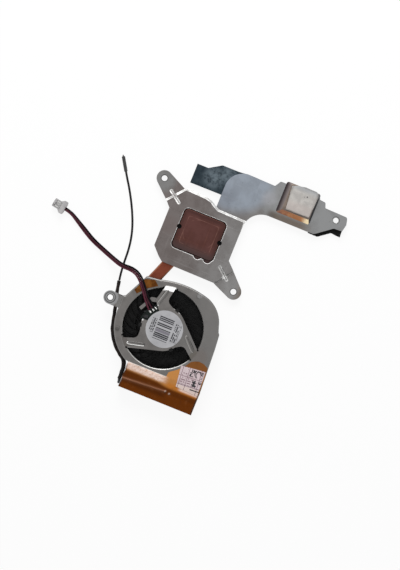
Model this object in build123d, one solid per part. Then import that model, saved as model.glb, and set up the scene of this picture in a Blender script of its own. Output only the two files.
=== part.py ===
"""Laptop cooling fan heatsink.

A flat blower, a fin stack at its outlet, a flattened heat pipe and a formed bracket that holds a copper cold plate.
The cooler lies with its outer side down: the air inlet and the faces that touch the chips look up.
The origin is on the fan's axis, at the underside of the fan's base. +Z goes up, towards the circuit board.
+Y goes from the fan to the bracket, and the air leaves towards -Y. All sizes are in millimetres.
"""

import os
from math import acos, asin, atan2, cos, degrees, hypot, radians, sin, sqrt, tan

from build123d import *

# Fan inlet and rotor
inlet_radius = 20.0
lip_radius = 0.8
blade_cover = 1.3
blade_count = 29
blade_thickness = 0.5
blade_sweep = 26.0
blade_radius = inlet_radius + blade_cover
tie_ring_radius = 14.7
tie_ring_width = 0.6
rotor_wall = 0.6
rotor_hub_radius = 11.4

# Fan casing
casing_height = 9.0
cover_sheet = 0.5
base_sheet = 0.5
edge_rounding = 0.8
tip_clearance = 3.1
volute_growth = 3.5
casing_radius = blade_radius + tip_clearance
front_clearance = 0.2
front = blade_radius + front_clearance
outlet_left = -10.0
outlet_right = casing_radius + volute_growth + 1.1
stake_side = 1.8
stake_height = 0.3

# Hub plate and struts of the cover
hub_raise = 1.0
hub_radius = 11.2
strut_count = 3
strut_angle = 100.5
strut_root_width = 5.2
ramp_run = 2.0
hub_top = casing_height + hub_raise
hub_bottom = hub_top - cover_sheet
label_x = 0.85
label_y = -0.1
label_radius = 9.3
label_thickness = 0.12

# Ear of the fan
ear_x = -(casing_radius + 5.7)
ear_y = 4.5
ear_radius = 3.4
ear_hole_radius = 1.4
ear_collar_radius = 2.3
ear_collar_rise = 0.4
ear_drop = 1.6
ear_sheet = 0.6

# Motor
shaft_radius = 0.75
running_gap = 0.02
bearing_radius = 1.88
bearing_tube_radius = 2.4
fit_gap = 0.05
carrier_thickness = 0.55
board_thickness = 0.5
board_radius = 10.8
board_tab_radius = 12.2
air_gap = 0.5
magnet_thickness = 1.0
cup_wall = 0.55
core_thickness = 1.8
pole_count = 6
pole_width = 1.8
clip_angle = 72.6
clip_width = 1.8
clip_thickness = 0.85

# Heat pipe
pipe_width = 6.0
pipe_height = 2.0
pipe_lift = 0.1
pipe_gap = 0.2
pipe_bend = 13.0
pipe_top = pipe_lift + pipe_height
rotor_gap = 0.5
rotor_bottom = pipe_top + pipe_gap + base_sheet + rotor_gap

# Fin stack
fin_count = 35
fin_thickness = 0.2
fin_gap = 1.3
fin_depth = 12.2
fin_top = 7.2
fin_flange_gap = 0.06
fins_back = -(front + fin_gap)
fins_front = fins_back - fin_depth
pipe_row = fins_back - 5.8

# Bracket
bracket_sheet = 1.0
bracket_step = 1.2
bend_run = 1.2
window_width = 22.7
window_depth = 21.2
window_corner = 2.3
rim_rounding = 0.4
notch_radius = 2.1
notch_depth = 1.2
notch_margin = 2.85
notch_pitch = 5.3
side_margin = 7.5
near_margin = 9.0
far_margin = 3.6
lip_margin = 7.6
plate_distance = 26.1
window_x = -0.9
window_y = casing_radius - 0.6 + plate_distance
screw_side = 15.35
screw_end = 9.4
screw_x = window_width / 2 + screw_side
screw_y = window_depth / 2 + screw_end
screw_hole_radius = 1.5
screw_ear_radius = 4.0
bead_radius = 1.0
bead_wall = 0.8
arm_hole_radius = 1.35
arm_hole_bevel = 0.3

# Cold plate
cold_flange = 0.7
cold_gap = 0.4
cold_proud = 0.2
cold_rounding = 0.35
pedestal_width = 16.6
pedestal_depth = 14.8
pedestal_rise = 0.12
dimple_radius = 1.2
dimple_depth = 1.0
bracket_bottom = pipe_top + cold_flange
bracket_top = bracket_bottom + bracket_sheet
low_top = bracket_top - bracket_step
low_bottom = low_top - bracket_sheet

# Chipset block and pad
block_height = 2.0
block_width = 18.2
block_depth = 16.4
arm_reach = 47.9
arm_rise = 7.7
block_margin = 18.6
plate_right = window_x + window_width / 2 + side_margin
plate_far = window_y + window_depth / 2 + far_margin
block_x = plate_right + arm_reach - block_margin - block_width / 2 + 1.15
block_y = plate_far + arm_rise + 3.4 + block_depth / 2
pad_thickness = 0.7

# Tapes, film and foam
tape_thickness = 0.15
tape_gap = 0.03
paper_thickness = 0.1
film_thickness = 0.15
glue_gap = 0.1

# Wires and cords
wire_diameter = 0.9
wire_pitch = 0.92
lead_diameter = 2.4
sensor_diameter = 1.1
sleeve_diameter = 1.8
end_sleeve_diameter = 1.7
bead_diameter = 1.5


def polar(radius, angle):
    """A point at an angle in degrees, turned about the fan's axis."""
    return (radius * cos(radians(angle)), radius * sin(radians(angle)))


def prism(face, low, high):
    """The upright solid of a flat outline between two heights."""
    return extrude(Pos(0, 0, low) * face, high - low, dir=(0, 0, 1))


def rounded(corners):
    """The flat face of an outline whose corners are given as x, y, radius."""
    points = [(x, y) for x, y, radius in corners]
    radii = [radius for x, y, radius in corners]
    return make_face(FilletPolyline(*points, radius=radii, close=True))


def ring(outer, inner, low, high):
    """A plain ring about the fan's axis."""
    return prism(Circle(outer) - Circle(inner), low, high)


def disc(radius, low, high):
    """A plain disc about the fan's axis."""
    return prism(Circle(radius), low, high)


def around(shape, count, start=0.0):
    """Copies of a shape at even turns about the fan's axis."""
    return [Rot(0, 0, start + turn * 360 / count) * shape for turn in range(count)]


def together(shapes):
    """Separate solids that share one node."""
    return Compound(children=[solid for shape in shapes for solid in shape.solids()])


# Casing outline and the pipe's route, which the other pieces follow


def casing_face():
    """Plan of the blower's casing: round at the left, a volute at the right, straight at the outlet."""
    r = casing_radius
    left_foot = (-sqrt(r * r - front * front), -front)
    left = (-r, 0)
    notch = (-r + 1.2, ear_y + 3.9)
    shoulder = (-r + 7.4, r - 3.3)
    top_left = (-r + 14.0, r - 2.5)
    top_right = (r - 11.4, r - 1.7)
    right = (r + 1.0, r - 13.2)
    step = (r + 2.8, r - 17.1)
    right_mid = (r + volute_growth, 0)
    right_foot = (outlet_right, -front)
    return make_face(
        [
            ThreePointArc(left_foot, polar(r, 212), left),
            Line(left, (-r, ear_y + 3.2)),
            Line((-r, ear_y + 3.2), notch),
            Line(notch, shoulder),
            Line(shoulder, top_left),
            ThreePointArc(top_left, (0, r - 0.6), top_right),
            ThreePointArc(top_right, (r - 4.2, r - 5.0), right),
            Line(right, (r + 2.0, r - 16.0)),
            Line((r + 2.0, r - 16.0), step),
            Line(step, right_mid),
            Line(right_mid, right_foot),
            Line(right_foot, left_foot),
        ]
    )


def pipe_route():
    """Centre line of the heat pipe, from the cold plate, under the fan's left side, to the fins."""
    slope = 0.388
    start = (window_x + 2.6, window_y + 10.6)
    bend_y = 8.0
    under_ear = (start[0] - slope * (start[1] - bend_y), bend_y)
    under_rotor = (-(casing_radius - 6.1), -3.0)
    at_fins = (outlet_left + 7.0, pipe_row)
    end = (outlet_right - pipe_width / 2 - pipe_gap - 1.4, pipe_row)
    return FilletPolyline(start, under_ear, under_rotor, at_fins, end, radius=pipe_bend)


def pipe_band(half_width):
    """Plan of a band along the pipe's route, with round ends."""
    return Face(pipe_route().offset_2d(half_width))


# Fan casing


def strut_face():
    """Plan of one strut: one edge tangent to the hub, the other running into it in a round."""
    root = inlet_radius + lip_radius + 0.6
    half = degrees(asin(strut_root_width / 2 / root))
    tangent = strut_angle + half + degrees(acos(hub_radius / root))
    inner_round = [(4.0, -1.0), (2.8, -0.6), (1.6, -2.9), (0.7, -8.6), (0.05, -15.6)]
    points = [polar(root, strut_angle - half), polar(root, strut_angle + half), polar(hub_radius, tangent)]
    points += [(0, 0)]
    points += [polar(hub_radius + out, strut_angle + turn) for out, turn in reversed(inner_round)]
    return Polygon(*points)


def struts_face():
    """Plan of all the struts."""
    face = strut_face()
    for turn in range(1, strut_count):
        face += Rot(0, 0, turn * 360 / strut_count) * strut_face()
    return face


def board_window():
    """Plan of the gap beside the hub plate, where the board and its pads show."""
    r = hub_radius
    wedge = Polygon(
        (label_x, label_y),
        (-r + 3.1, 0.8),
        (-r - 1.0, 0.9),
        (-r - 5.0, 3.0),
        (-r - 3.0, r + 2.0),
        (-r + 1.9, r + 1.4),
        (-r + 4.3, r - 1.4),
    )
    return wedge - Pos(label_x, label_y) * Circle(label_radius - 0.15)


def inlet_lip():
    """The inlet's edge, rolled down into the casing."""
    outer = inlet_radius + lip_radius
    centre_z = casing_height - lip_radius
    inner_r = lip_radius - cover_sheet
    diagonal = sqrt(0.5)
    section = make_face(
        [
            ThreePointArc(
                (outer, 0, casing_height),
                (outer - lip_radius * diagonal, 0, centre_z + lip_radius * diagonal),
                (inlet_radius, 0, centre_z),
            ),
            Line((inlet_radius, 0, centre_z), (inlet_radius + cover_sheet, 0, centre_z)),
            ThreePointArc(
                (inlet_radius + cover_sheet, 0, centre_z),
                (outer - inner_r * diagonal, 0, centre_z + inner_r * diagonal),
                (outer, 0, casing_height - cover_sheet),
            ),
            Line((outer, 0, casing_height - cover_sheet), (outer, 0, casing_height)),
        ]
    )
    return revolve(section, Axis.Z)


def strut_ramps():
    """The stretches where the struts step down from the hub plate's level to the cover."""
    inner = inlet_radius + lip_radius - ramp_run
    outer = inlet_radius + lip_radius + 0.5
    section = make_face(
        Polyline(
            (inner - 0.2, 0, hub_bottom),
            (inner - 0.2, 0, hub_top),
            (inner, 0, hub_top),
            (outer, 0, casing_height),
            (outer, 0, casing_height - cover_sheet),
            (inner, 0, hub_bottom),
            close=True,
        )
    )
    return revolve(section, Axis.Z) & prism(struts_face(), 0, hub_top + 1)


def fan_ear():
    """Screw ear at the fan's left, a little lower than the cover, with a pressed collar."""
    top = casing_height - ear_drop
    wall_x = -casing_radius + cover_sheet
    web = Polygon(
        (ear_x, ear_y - ear_radius),
        (wall_x, ear_y - ear_radius),
        (wall_x, ear_y + ear_radius - 0.3),
        (ear_x, ear_y + ear_radius),
    )
    ear = prism(web + Pos(ear_x, ear_y) * Circle(ear_radius), top - ear_sheet, top)
    ear += Pos(ear_x, ear_y) * disc(ear_collar_radius, top - ear_sheet - ear_collar_rise, top + ear_collar_rise)
    ramp_low = -casing_radius - 1.6
    ramp = Polyline(
        (ramp_low, 0, top - 0.1),
        (wall_x, 0, top - 0.1),
        (wall_x, 0, casing_height - 0.35),
        (-casing_radius + 0.1, 0, casing_height - 0.35),
        (ramp_low, 0, top),
        close=True,
    )
    ear += Pos(0, ear_y - ear_radius + 0.2, 0) * extrude(make_face(ramp), 2 * ear_radius - 0.8, dir=(0, 1, 0))
    return ear - Pos(ear_x, ear_y) * disc(ear_hole_radius, 0, casing_height)


def wire_hook():
    """Tongue bent out of the first strut, under the motor's wires."""
    plan = rounded(
        [
            (-8.2, 12.9, 0),
            (-11.0, 12.4, 1.0),
            (-12.7, 9.4, 1.5),
            (-14.9, 5.4, 0.3),
            (-13.4, 4.5, 0.3),
            (-11.5, 8.3, 1.0),
            (-10.4, 10.2, 0.8),
            (-7.6, 10.9, 0),
        ]
    )
    return prism(plan, hub_bottom - cover_sheet, hub_bottom)


def stakes():
    """Two small square heads that fix the cover to the base."""
    head = Pos(0, 0, casing_height - 0.1) * Box(
        stake_side, stake_side, stake_height + 0.1, align=(Align.CENTER, Align.CENTER, Align.MIN)
    )
    head = fillet(head.edges().filter_by(Axis.Z), 0.4)
    places = [(casing_radius - 13.8, casing_radius - 3.2), polar(casing_radius - 1.9, 201)]
    return [Pos(x, y, 0) * head for x, y in places]


def make_fan_cover():
    """Stamped cover with its wall, inlet, struts, hub plate, ear and wire hook."""
    plan = casing_face()
    shell = prism(plan, base_sheet, casing_height)
    rim = shell.edges().filter_by(Plane.XY).group_by(Axis.Z)[-1]
    rim = rim.filter_by(lambda edge: edge.center().Y > -front + 0.01)
    shell = fillet(rim, edge_rounding)
    inside = offset(plan, -cover_sheet)
    shell -= prism(inside, 0, casing_height - cover_sheet)
    outlet = Box(
        outlet_right - outlet_left - cover_sheet,
        4.0,
        casing_height - cover_sheet - base_sheet,
        align=(Align.MIN, Align.CENTER, Align.MIN),
    )
    shell -= Pos(outlet_left, -front, base_sheet) * outlet
    shell -= prism(pipe_band(pipe_width / 2 + pipe_gap + base_sheet), 0, pipe_top + pipe_gap + base_sheet + 0.1)
    shell -= disc(inlet_radius + lip_radius, 0, casing_height + 1)
    shell += inlet_lip()
    inner = inlet_radius + lip_radius - ramp_run
    hub = prism(Circle(hub_radius) + struts_face(), hub_bottom, hub_top) & disc(inner, 0, hub_top + 1)
    hub += strut_ramps()
    hub -= prism(board_window(), hub_bottom - 1, hub_top + 1)
    groove = Pos(-6.1, 15.2, hub_top) * Rot(0, 0, -11) * Box(0.8, 6.6, 0.4)
    for cut in around(groove, strut_count):
        hub -= cut
    shell += hub
    shell += wire_hook()
    shell += fan_ear()
    for head in stakes():
        shell += head
    return shell


def make_fan_base():
    """Floor plate, with a channel pressed up over the heat pipe inside the casing."""
    floor_plan = casing_face() + Polygon(
        (outlet_left, fins_front),
        (outlet_right, fins_front),
        (outlet_right, -front + 1.0),
        (outlet_left, -front + 1.0),
    )
    half = pipe_width / 2 + pipe_gap
    roof = pipe_top + pipe_gap
    inside = offset(casing_face(), -(cover_sheet + fit_gap))
    channel = prism(pipe_band(half + base_sheet), 0, roof + base_sheet) & prism(inside, 0, casing_height)
    base = prism(floor_plan, 0, base_sheet) + channel
    return base - prism(pipe_band(half), -1, roof)


# Rotor


def blade_face():
    """Plan of one impeller blade, swept back."""
    start = polar(rotor_hub_radius - 0.2, 0)
    middle = polar((rotor_hub_radius + blade_radius) / 2, -0.36 * blade_sweep)
    end = polar(blade_radius - blade_thickness / 2, -blade_sweep)
    arc = ThreePointArc(start, middle, end)
    return Face(Wire([arc]).offset_2d(blade_thickness / 2))


def make_impeller():
    """Moulded wheel: a cup that faces the motor, curved blades and a tie ring over them."""
    low = rotor_bottom
    top = casing_height - lip_radius - 0.6
    wheel = disc(rotor_hub_radius, low, cup_top + 0.1)
    wheel -= disc(rotor_hub_radius - rotor_wall, low + rotor_wall, casing_height)
    blade = prism(blade_face(), low + 0.1, top)
    wheel += around(blade, blade_count)
    half = tie_ring_width / 2
    return wheel + ring(tie_ring_radius + half, tie_ring_radius - half, top - 0.3, top + 0.1)


cup_bottom = rotor_bottom + rotor_wall
carrier_top = hub_bottom - fit_gap - board_thickness
carrier_bottom = carrier_top - carrier_thickness
cup_top = carrier_bottom - rotor_gap - 0.1
cup_radius = rotor_hub_radius - rotor_wall - fit_gap
magnet_radius = cup_radius - cup_wall - fit_gap
core_radius = magnet_radius - magnet_thickness - air_gap
boss_top = cup_bottom + 0.8
tube_bottom = boss_top + 0.1
core_bottom = cup_bottom + 1.2
shaft_top = hub_bottom - 0.55


def make_rotor_cup():
    """Drawn steel cup with a boss that grips the shaft."""
    cup = disc(cup_radius, cup_bottom, cup_top)
    cup -= disc(cup_radius - cup_wall, cup_bottom + 0.45, casing_height)
    cup += disc(shaft_radius + 0.85, cup_bottom, boss_top)
    return cup - disc(shaft_radius, 0, casing_height)


def make_magnet_ring():
    """Ring magnet in the cup."""
    return ring(magnet_radius, magnet_radius - magnet_thickness, cup_bottom + 0.6, cup_top - 0.2)


def make_rotor_shaft():
    """Shaft with a groove for its retainer."""
    shaft = disc(shaft_radius, cup_bottom, shaft_top)
    shaft = chamfer(shaft.edges().group_by(Axis.Z)[-1], 0.15)
    return shaft - ring(shaft_radius + 1, shaft_radius - 0.2, shaft_top - 0.45, shaft_top - 0.25)


def make_shaft_retainer():
    """Split washer in the shaft's groove, above the bush."""
    washer = ring(shaft_radius + 0.6, shaft_radius - 0.2, shaft_top - 0.43, shaft_top - 0.27)
    return washer - Pos(1.5, 0, shaft_top - 0.35) * Box(3.0, 0.3, 1.0)


# Motor parts that hang from the hub plate


def make_bearing_tube():
    """Turned tube that holds the bush and carries the stator."""
    return ring(bearing_tube_radius, bearing_radius, tube_bottom, hub_bottom - fit_gap)


def make_bearing_bush():
    """Sintered bush that the shaft runs in."""
    return ring(bearing_radius, shaft_radius + running_gap, tube_bottom + 0.1, shaft_top - 0.6)


def make_thrust_disc():
    """Plastic disc that the shaft's end runs on."""
    return disc(bearing_radius - fit_gap, shaft_top + running_gap, hub_bottom - fit_gap)


def make_stator_core():
    """Stack of laminations with wide pole shoes."""
    high = core_bottom + core_thickness
    plan = Circle(bearing_tube_radius + 1.2)
    shoe_half = 0.38 * 360 / pole_count
    shoe = Circle(core_radius) - Circle(core_radius - 0.8)
    shoe &= Polygon((0, 0), polar(2 * core_radius, -shoe_half), polar(2 * core_radius, shoe_half))
    pole = Pos(core_radius / 2, 0) * Rectangle(core_radius - 0.6, pole_width) + shoe
    for copy in around(pole, pole_count, 15.0):
        plan += copy
    plan -= Circle(bearing_tube_radius)
    return prism(plan, core_bottom, high)


def make_stator_coils():
    """One winding around each pole."""
    inner = bearing_tube_radius + 1.4
    outer = core_radius - 1.0
    length = outer - inner
    swell = 0.6
    middle = core_bottom + core_thickness / 2
    coil = Box(length, pole_width + 2 * swell, core_thickness + 2 * swell)
    coil = fillet(coil.edges().filter_by(Axis.X), 0.5)
    coil -= Box(length + 1, pole_width + fit_gap, core_thickness + fit_gap)
    coil = Pos((inner + outer) / 2, 0, middle) * coil
    return together(around(coil, pole_count, 15.0))


def make_motor_carrier():
    """Black insulator under the board, clipped over the hub plate's edge at three places."""
    carrier = disc(board_radius - 0.2, carrier_bottom, carrier_top)
    carrier += disc(bearing_tube_radius + 1.0, core_bottom + core_thickness + fit_gap, carrier_top)
    post_in = hub_radius + 0.12
    post_out = post_in + clip_thickness
    hook_top = hub_top + 0.35
    arm = Pos(post_out / 2 + 2, 0, carrier_bottom) * Box(
        post_out - 4, clip_width, carrier_thickness, align=(Align.CENTER, Align.CENTER, Align.MIN)
    )
    post = Pos((post_in + post_out) / 2, 0, carrier_bottom) * Box(
        clip_thickness, clip_width, hook_top - carrier_bottom, align=(Align.CENTER, Align.CENTER, Align.MIN)
    )
    hook = Pos(post_out - 0.75, 0, hub_top + 0.02) * Box(
        1.5, clip_width, hook_top - hub_top - 0.02, align=(Align.CENTER, Align.CENTER, Align.MIN)
    )
    for clip in around(arm + post + hook, strut_count, clip_angle):
        carrier += clip
    return carrier - disc(bearing_tube_radius, 0, hub_top)


def make_motor_board():
    """Round circuit board with a tab that carries the solder pads."""
    tab = Circle(board_tab_radius) & Polygon((0, 0), (-20, 0.9), (-20, 14), (-9.4, 14))
    plan = Circle(board_radius) + tab - Circle(bearing_tube_radius + fit_gap)
    return prism(plan, carrier_top, carrier_top + board_thickness)


board_top = carrier_top + board_thickness
pad_places = [(-8.8, 5.3), (-7.8, 6.7), (-6.9, 8.0)]


def make_solder_pads():
    """Three domed solder joints."""
    pad = Pos(0, 0, board_top) * Box(1.4, 0.8, 0.25, align=(Align.CENTER, Align.CENTER, Align.MIN))
    pad = fillet(pad.edges().filter_by(Axis.Z), 0.35)
    pad = fillet(pad.edges().group_by(Axis.Z)[-1], 0.15)
    return together([Pos(x, y, 0) * Rot(0, 0, -28) * pad for x, y in pad_places])


def make_board_parts():
    """A chip and two small parts on the board's tab."""
    base = (Align.CENTER, Align.CENTER, Align.MIN)
    chip = Pos(-9.9, 2.5, board_top) * Rot(0, 0, 12) * Box(2.0, 1.5, 0.6, align=base)
    small = Pos(-11.3, 4.6, board_top) * Rot(0, 0, 25) * Box(1.0, 0.5, 0.4, align=base)
    return together([chip, small, Pos(0.55, -1.4, 0) * Rot(0, 0, 5) * small])


def make_motor_label():
    """Round label on the hub plate."""
    return Pos(label_x, label_y) * disc(label_radius, hub_top, hub_top + label_thickness)


# Heat path


def make_heat_pipe():
    """Flattened copper pipe with round edges."""
    pipe = prism(pipe_band(pipe_width / 2), pipe_lift, pipe_top)
    flat_edges = pipe.edges().filter_by(Plane.XY)
    return fillet(flat_edges, 0.45 * pipe_height)


def make_fin_stack():
    """Folded fins, each with a flange at the top and the bottom, cut out over the pipe."""
    low = base_sheet + tape_gap
    pitch = (outlet_right - outlet_left - fin_thickness) / (fin_count - 1)
    wall = Box(fin_thickness, fin_depth, fin_top - low, align=(Align.MIN, Align.MIN, Align.MIN))
    flange = Box(pitch - fin_flange_gap, fin_depth, fin_thickness, align=(Align.MIN, Align.MIN, Align.MIN))
    folded = wall + flange + Pos(0, 0, fin_top - low - fin_thickness) * flange
    cut = prism(pipe_band(pipe_width / 2 + tape_gap), -1, pipe_top + tape_gap)
    cut += prism(pipe_band(pipe_width / 2 + pipe_gap + base_sheet), -1, pipe_top + pipe_gap + base_sheet) & Pos(
        0, -front - 0.5, 0
    ) * Box(4 * casing_radius, 2 * fin_gap, 4 * casing_height)
    fins = []
    for number in range(fin_count):
        blank = wall if number == fin_count - 1 else folded
        place = Pos(outlet_left + number * pitch, fins_front, low)
        fin = place * blank - cut
        fins.append(max(fin.solids(), key=lambda solid: solid.volume))
    return together(fins)


def window_face(shrink=0.0):
    """Plan of the bracket's window, about the cold plate's centre, or of what fits in it with a gap."""
    half_w = window_width / 2 - shrink
    half_d = window_depth / 2 - shrink
    corner = window_corner
    return Pos(window_x, window_y) * rounded(
        [
            (-half_w, -half_d, corner),
            (half_w, -half_d, corner),
            (half_w, half_d, corner),
            (-half_w, half_d, corner),
        ]
    )


def dimples():
    """Two punch marks across the joint between the cold plate and the bracket."""
    top = bracket_top + cold_proud
    places = [(-window_width / 2 + 0.6, 0.3), (window_width / 2 - 0.3, 0.0)]
    return [
        Pos(window_x + x, window_y + y) * disc(dimple_radius, top - dimple_depth, top + 1) for x, y in places
    ]


def make_cold_plate():
    """Copper plate: a flange under the bracket, a block in the window and a slight pedestal."""
    top = bracket_top + cold_proud
    flange = Pos(window_x, window_y) * RectangleRounded(window_width + 5.0, window_depth + 5.0, 1.5)
    block = prism(window_face(cold_gap), bracket_bottom, top - pedestal_rise)
    block = fillet(block.edges().filter_by(Plane.XY).group_by(Axis.Z)[-1], cold_rounding)
    pedestal = Pos(window_x, window_y) * RectangleRounded(pedestal_width, pedestal_depth, 2.0)
    plate = prism(flange, pipe_top, bracket_bottom) + block
    plate += prism(pedestal, top - pedestal_rise - 0.2, top)
    for mark in dimples():
        plate -= mark
    return plate


# Bracket


def bracket_corners():
    """Corners of the bracket's high plate, about the window's centre, anticlockwise."""
    left = -window_width / 2 - side_margin
    right = window_width / 2 + side_margin - 0.1
    near = -window_depth / 2 - near_margin
    far = window_depth / 2 + far_margin
    lip = window_depth / 2 + lip_margin
    return [
        (left, near + 6.5),
        (left + 4.0, near + 2.3),
        (left + 6.5, near + 0.3),
        (right - 3.2, near),
        (right + 3.6, near + 9.7),
        (right, near + 13.1),
        (right, far - 5.6),
        (right - 0.3, far - 0.1),
        (right - 14.6, far + 0.2),
        (right - 17.4, far + 1.7),
        (right - 19.6, far + 3.1),
        (right - 22.3, far + 3.7),
        (left + 4.7, lip + 0.1),
        (left - 2.5, lip - 8.4),
        (left, lip - 11.1),
    ]


def grown(points, amount):
    """The same outline moved outwards by an amount, with as many corners."""
    count = len(points)
    result = []
    for index in range(count):
        before, here, after = points[index - 1], points[index], points[(index + 1) % count]
        angle_in = atan2(here[1] - before[1], here[0] - before[0])
        angle_out = atan2(after[1] - here[1], after[0] - here[0])
        middle = (angle_in + angle_out) / 2
        if abs(angle_out - angle_in) > radians(180):
            middle += radians(180)
        reach = amount / cos((angle_out - angle_in) / 2)
        reach = abs(reach)
        result.append((here[0] + reach * sin(middle), here[1] - reach * cos(middle)))
    return result


def high_plate(low_by):
    """The bracket's high plate with its bent-down sides, as a filled form, lowered by an amount."""
    corners = bracket_corners()
    steps = [(0.0, 0.0), (0.25, 0.1), (0.75, 0.9), (1.0, 1.0)]
    levels = [(share_out * bend_run, bracket_top - low_by - share_down * bracket_step) for share_out, share_down in steps]
    form = None
    for (out_a, z_a), (out_b, z_b) in zip(levels, levels[1:]):
        upper = Pos(window_x, window_y, z_a) * Polygon(*grown(corners, out_a))
        lower = Pos(window_x, window_y, z_b) * Polygon(*grown(corners, out_b))
        layer = loft([lower, upper], ruled=True)
        form = layer if form is None else form + layer
    foot = Pos(window_x, window_y) * Polygon(*grown(corners, bend_run))
    return form + prism(foot, -1, low_top - low_by)


def screw_ears():
    """Plans of the two screw ears, from their bend lines to their round tips."""
    corners = bracket_corners()
    ears = []
    for (x, y), (start, end) in [((-screw_x, screw_y), (12, 13)), ((screw_x, -screw_y), (3, 4))]:
        tip = Pos(x, y) * Circle(screw_ear_radius)
        a, b = corners[start], corners[end]
        hull = make_hull(tip.edges() + [Line(a, b)])
        ears.append(Pos(window_x, window_y) * hull)
    return ears


def arm_face():
    """Plan of the lobe and the arm that carries the chipset block."""
    right = plate_right
    far = plate_far
    inner = far + arm_rise
    outer = inner + block_depth - 0.6
    tip = right + arm_reach
    return rounded(
        [
            (right - 16.0, far - 0.5, 0),
            (right - 16.0, outer, 9.5),
            (right + 7.4, outer - 0.6, 0.8),
            (right + 9.3, outer + 2.6, 1.0),
            (tip - 17.5, outer + 2.6, 0.6),
            (tip - 16.9, outer + 1.4, 0),
            (tip - 13.9, outer + 1.1, 0.8),
            (tip - 12.9, outer - 1.5, 0.5),
            (tip - 0.9, outer - 1.8, 1.2),
            (tip, outer - 5.4, 2.0),
            (tip - 0.8, outer - 9.2, 0.4),
            (tip - 5.2, outer - 9.4, 1.5),
            (tip - 13.5, inner, 2.5),
            (right, inner, 10.0),
            (right, far - 5.6, 0),
        ]
    )


def lip_band():
    """Plan of the bent-down edge between the first ear and the lobe."""
    corners = grown(bracket_corners(), bend_run)
    far = window_depth / 2 + far_margin
    band = Polygon(*corners) & Polygon(
        (corners[12][0] + 1.2, far - 3),
        (corners[8][0], far - 3),
        (corners[8][0], far + 8),
        (corners[12][0] + 0.2, far + 8),
    )
    return Pos(window_x, window_y) * band


def bead(end_a, end_b, radius):
    """A rod with round ends between two points, for pressing a groove."""
    a, b = Vector(*end_a), Vector(*end_b)
    run = b - a
    rod = Plane(origin=a, z_dir=run) * Cylinder(radius, run.length, align=(Align.CENTER, Align.CENTER, Align.MIN))
    return rod + Pos(*end_a) * Sphere(radius) + Pos(*end_b) * Sphere(radius)


def bead_lines():
    """The two grooves, each from a screw ear over the bend into the high plate."""
    rise = 0.3
    low, high = low_top + rise, bracket_top + rise
    far_x, far_y = window_x - screw_x, window_y + screw_y
    near_x, near_y = window_x + screw_x, window_y - screw_y
    return [
        ((far_x + 5.6, far_y - 4.6, low), (far_x + 11.3, far_y - 8.8, high)),
        ((near_x - 5.4, near_y + 4.3, low), (near_x - 11.0, near_y + 9.0, high)),
    ]


def make_bracket():
    """Formed sheet: a high plate around the cold plate, two screw ears, a lobe and a long arm."""
    ears = screw_ears()
    plate = Pos(window_x, window_y) * Polygon(*bracket_corners())
    low_plan = arm_face() + ears[0] + ears[1]
    plan = plate + low_plan + lip_band()
    outside = high_plate(0.0)
    shell = (outside - high_plate(bracket_sheet)) & prism(plan, low_bottom, bracket_top + 1)
    inside = Pos(window_x, window_y) * Polygon(*grown(bracket_corners(), 0.8 * bend_run))
    bracket = shell + prism(low_plan - inside, low_bottom, low_top)
    solid_form = (outside & prism(plan, 0.3, bracket_top + 1)) + prism(low_plan, 0.3, low_top)
    for line in bead_lines():
        bracket += bead(line[0], line[1], bead_radius + bead_wall) & solid_form
        bracket -= bead(line[0], line[1], bead_radius)
    window = window_face()
    for number in range(2):
        x = window_x + window_width / 2 - notch_margin - number * notch_pitch
        window += Pos(x, window_y - window_depth / 2 - notch_depth + notch_radius) * Circle(notch_radius)
    bracket -= prism(window, 0, bracket_top + 1)
    rim = [
        edge
        for edge in bracket.edges().filter_by(Plane.XY)
        if abs(edge.center().Z - bracket_top) < 0.01
        and abs(edge.center().X - window_x) < window_width / 2 + 0.1
        and abs(edge.center().Y - window_y) < window_depth / 2 + 2.0
    ]
    bracket = fillet(rim, rim_rounding)
    for mark in dimples():
        bracket -= mark
    for x, y in [(-screw_x, screw_y), (screw_x, -screw_y)]:
        bracket -= Pos(window_x + x, window_y + y) * disc(screw_hole_radius, 0, bracket_top + 1)
    arm_x, arm_y = arm_hole()
    bracket -= Pos(arm_x, arm_y) * disc(arm_hole_radius, 0, bracket_top)
    sink = Cone(
        arm_hole_radius, arm_hole_radius + arm_hole_bevel, arm_hole_bevel, align=(Align.CENTER, Align.CENTER, Align.MAX)
    )
    return bracket - Pos(arm_x, arm_y, low_top) * sink


def arm_hole():
    """Place of the screw hole at the arm's end."""
    return (plate_right + arm_reach - 5.7, plate_far + arm_rise + block_depth - 5.7)


def make_chipset_block():
    """Copper block with sloping sides, soldered on the arm."""
    foot = Pos(block_x, block_y, low_top) * rounded(
        [
            (-block_width / 2, -block_depth / 2, 1.2),
            (block_width / 2, -block_depth / 2, 1.2),
            (block_width / 2, block_depth / 2, 1.2),
            (-block_width / 2, block_depth / 2, 1.2),
        ]
    )
    left_slope, right_slope, near_slope, far_slope = 2.5, 1.1, 2.1, 0.4
    crown = Pos(block_x, block_y, low_top + block_height) * rounded(
        [
            (-block_width / 2 + left_slope, -block_depth / 2 + near_slope, 1.0),
            (block_width / 2 - right_slope, -block_depth / 2 + near_slope, 1.0),
            (block_width / 2 - right_slope, block_depth / 2 - far_slope, 1.0),
            (-block_width / 2 + left_slope, block_depth / 2 - far_slope, 1.0),
        ]
    )
    block = loft([foot, crown], ruled=True)
    return fillet(block.edges().group_by(Axis.Z)[-1], 0.3)


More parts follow.
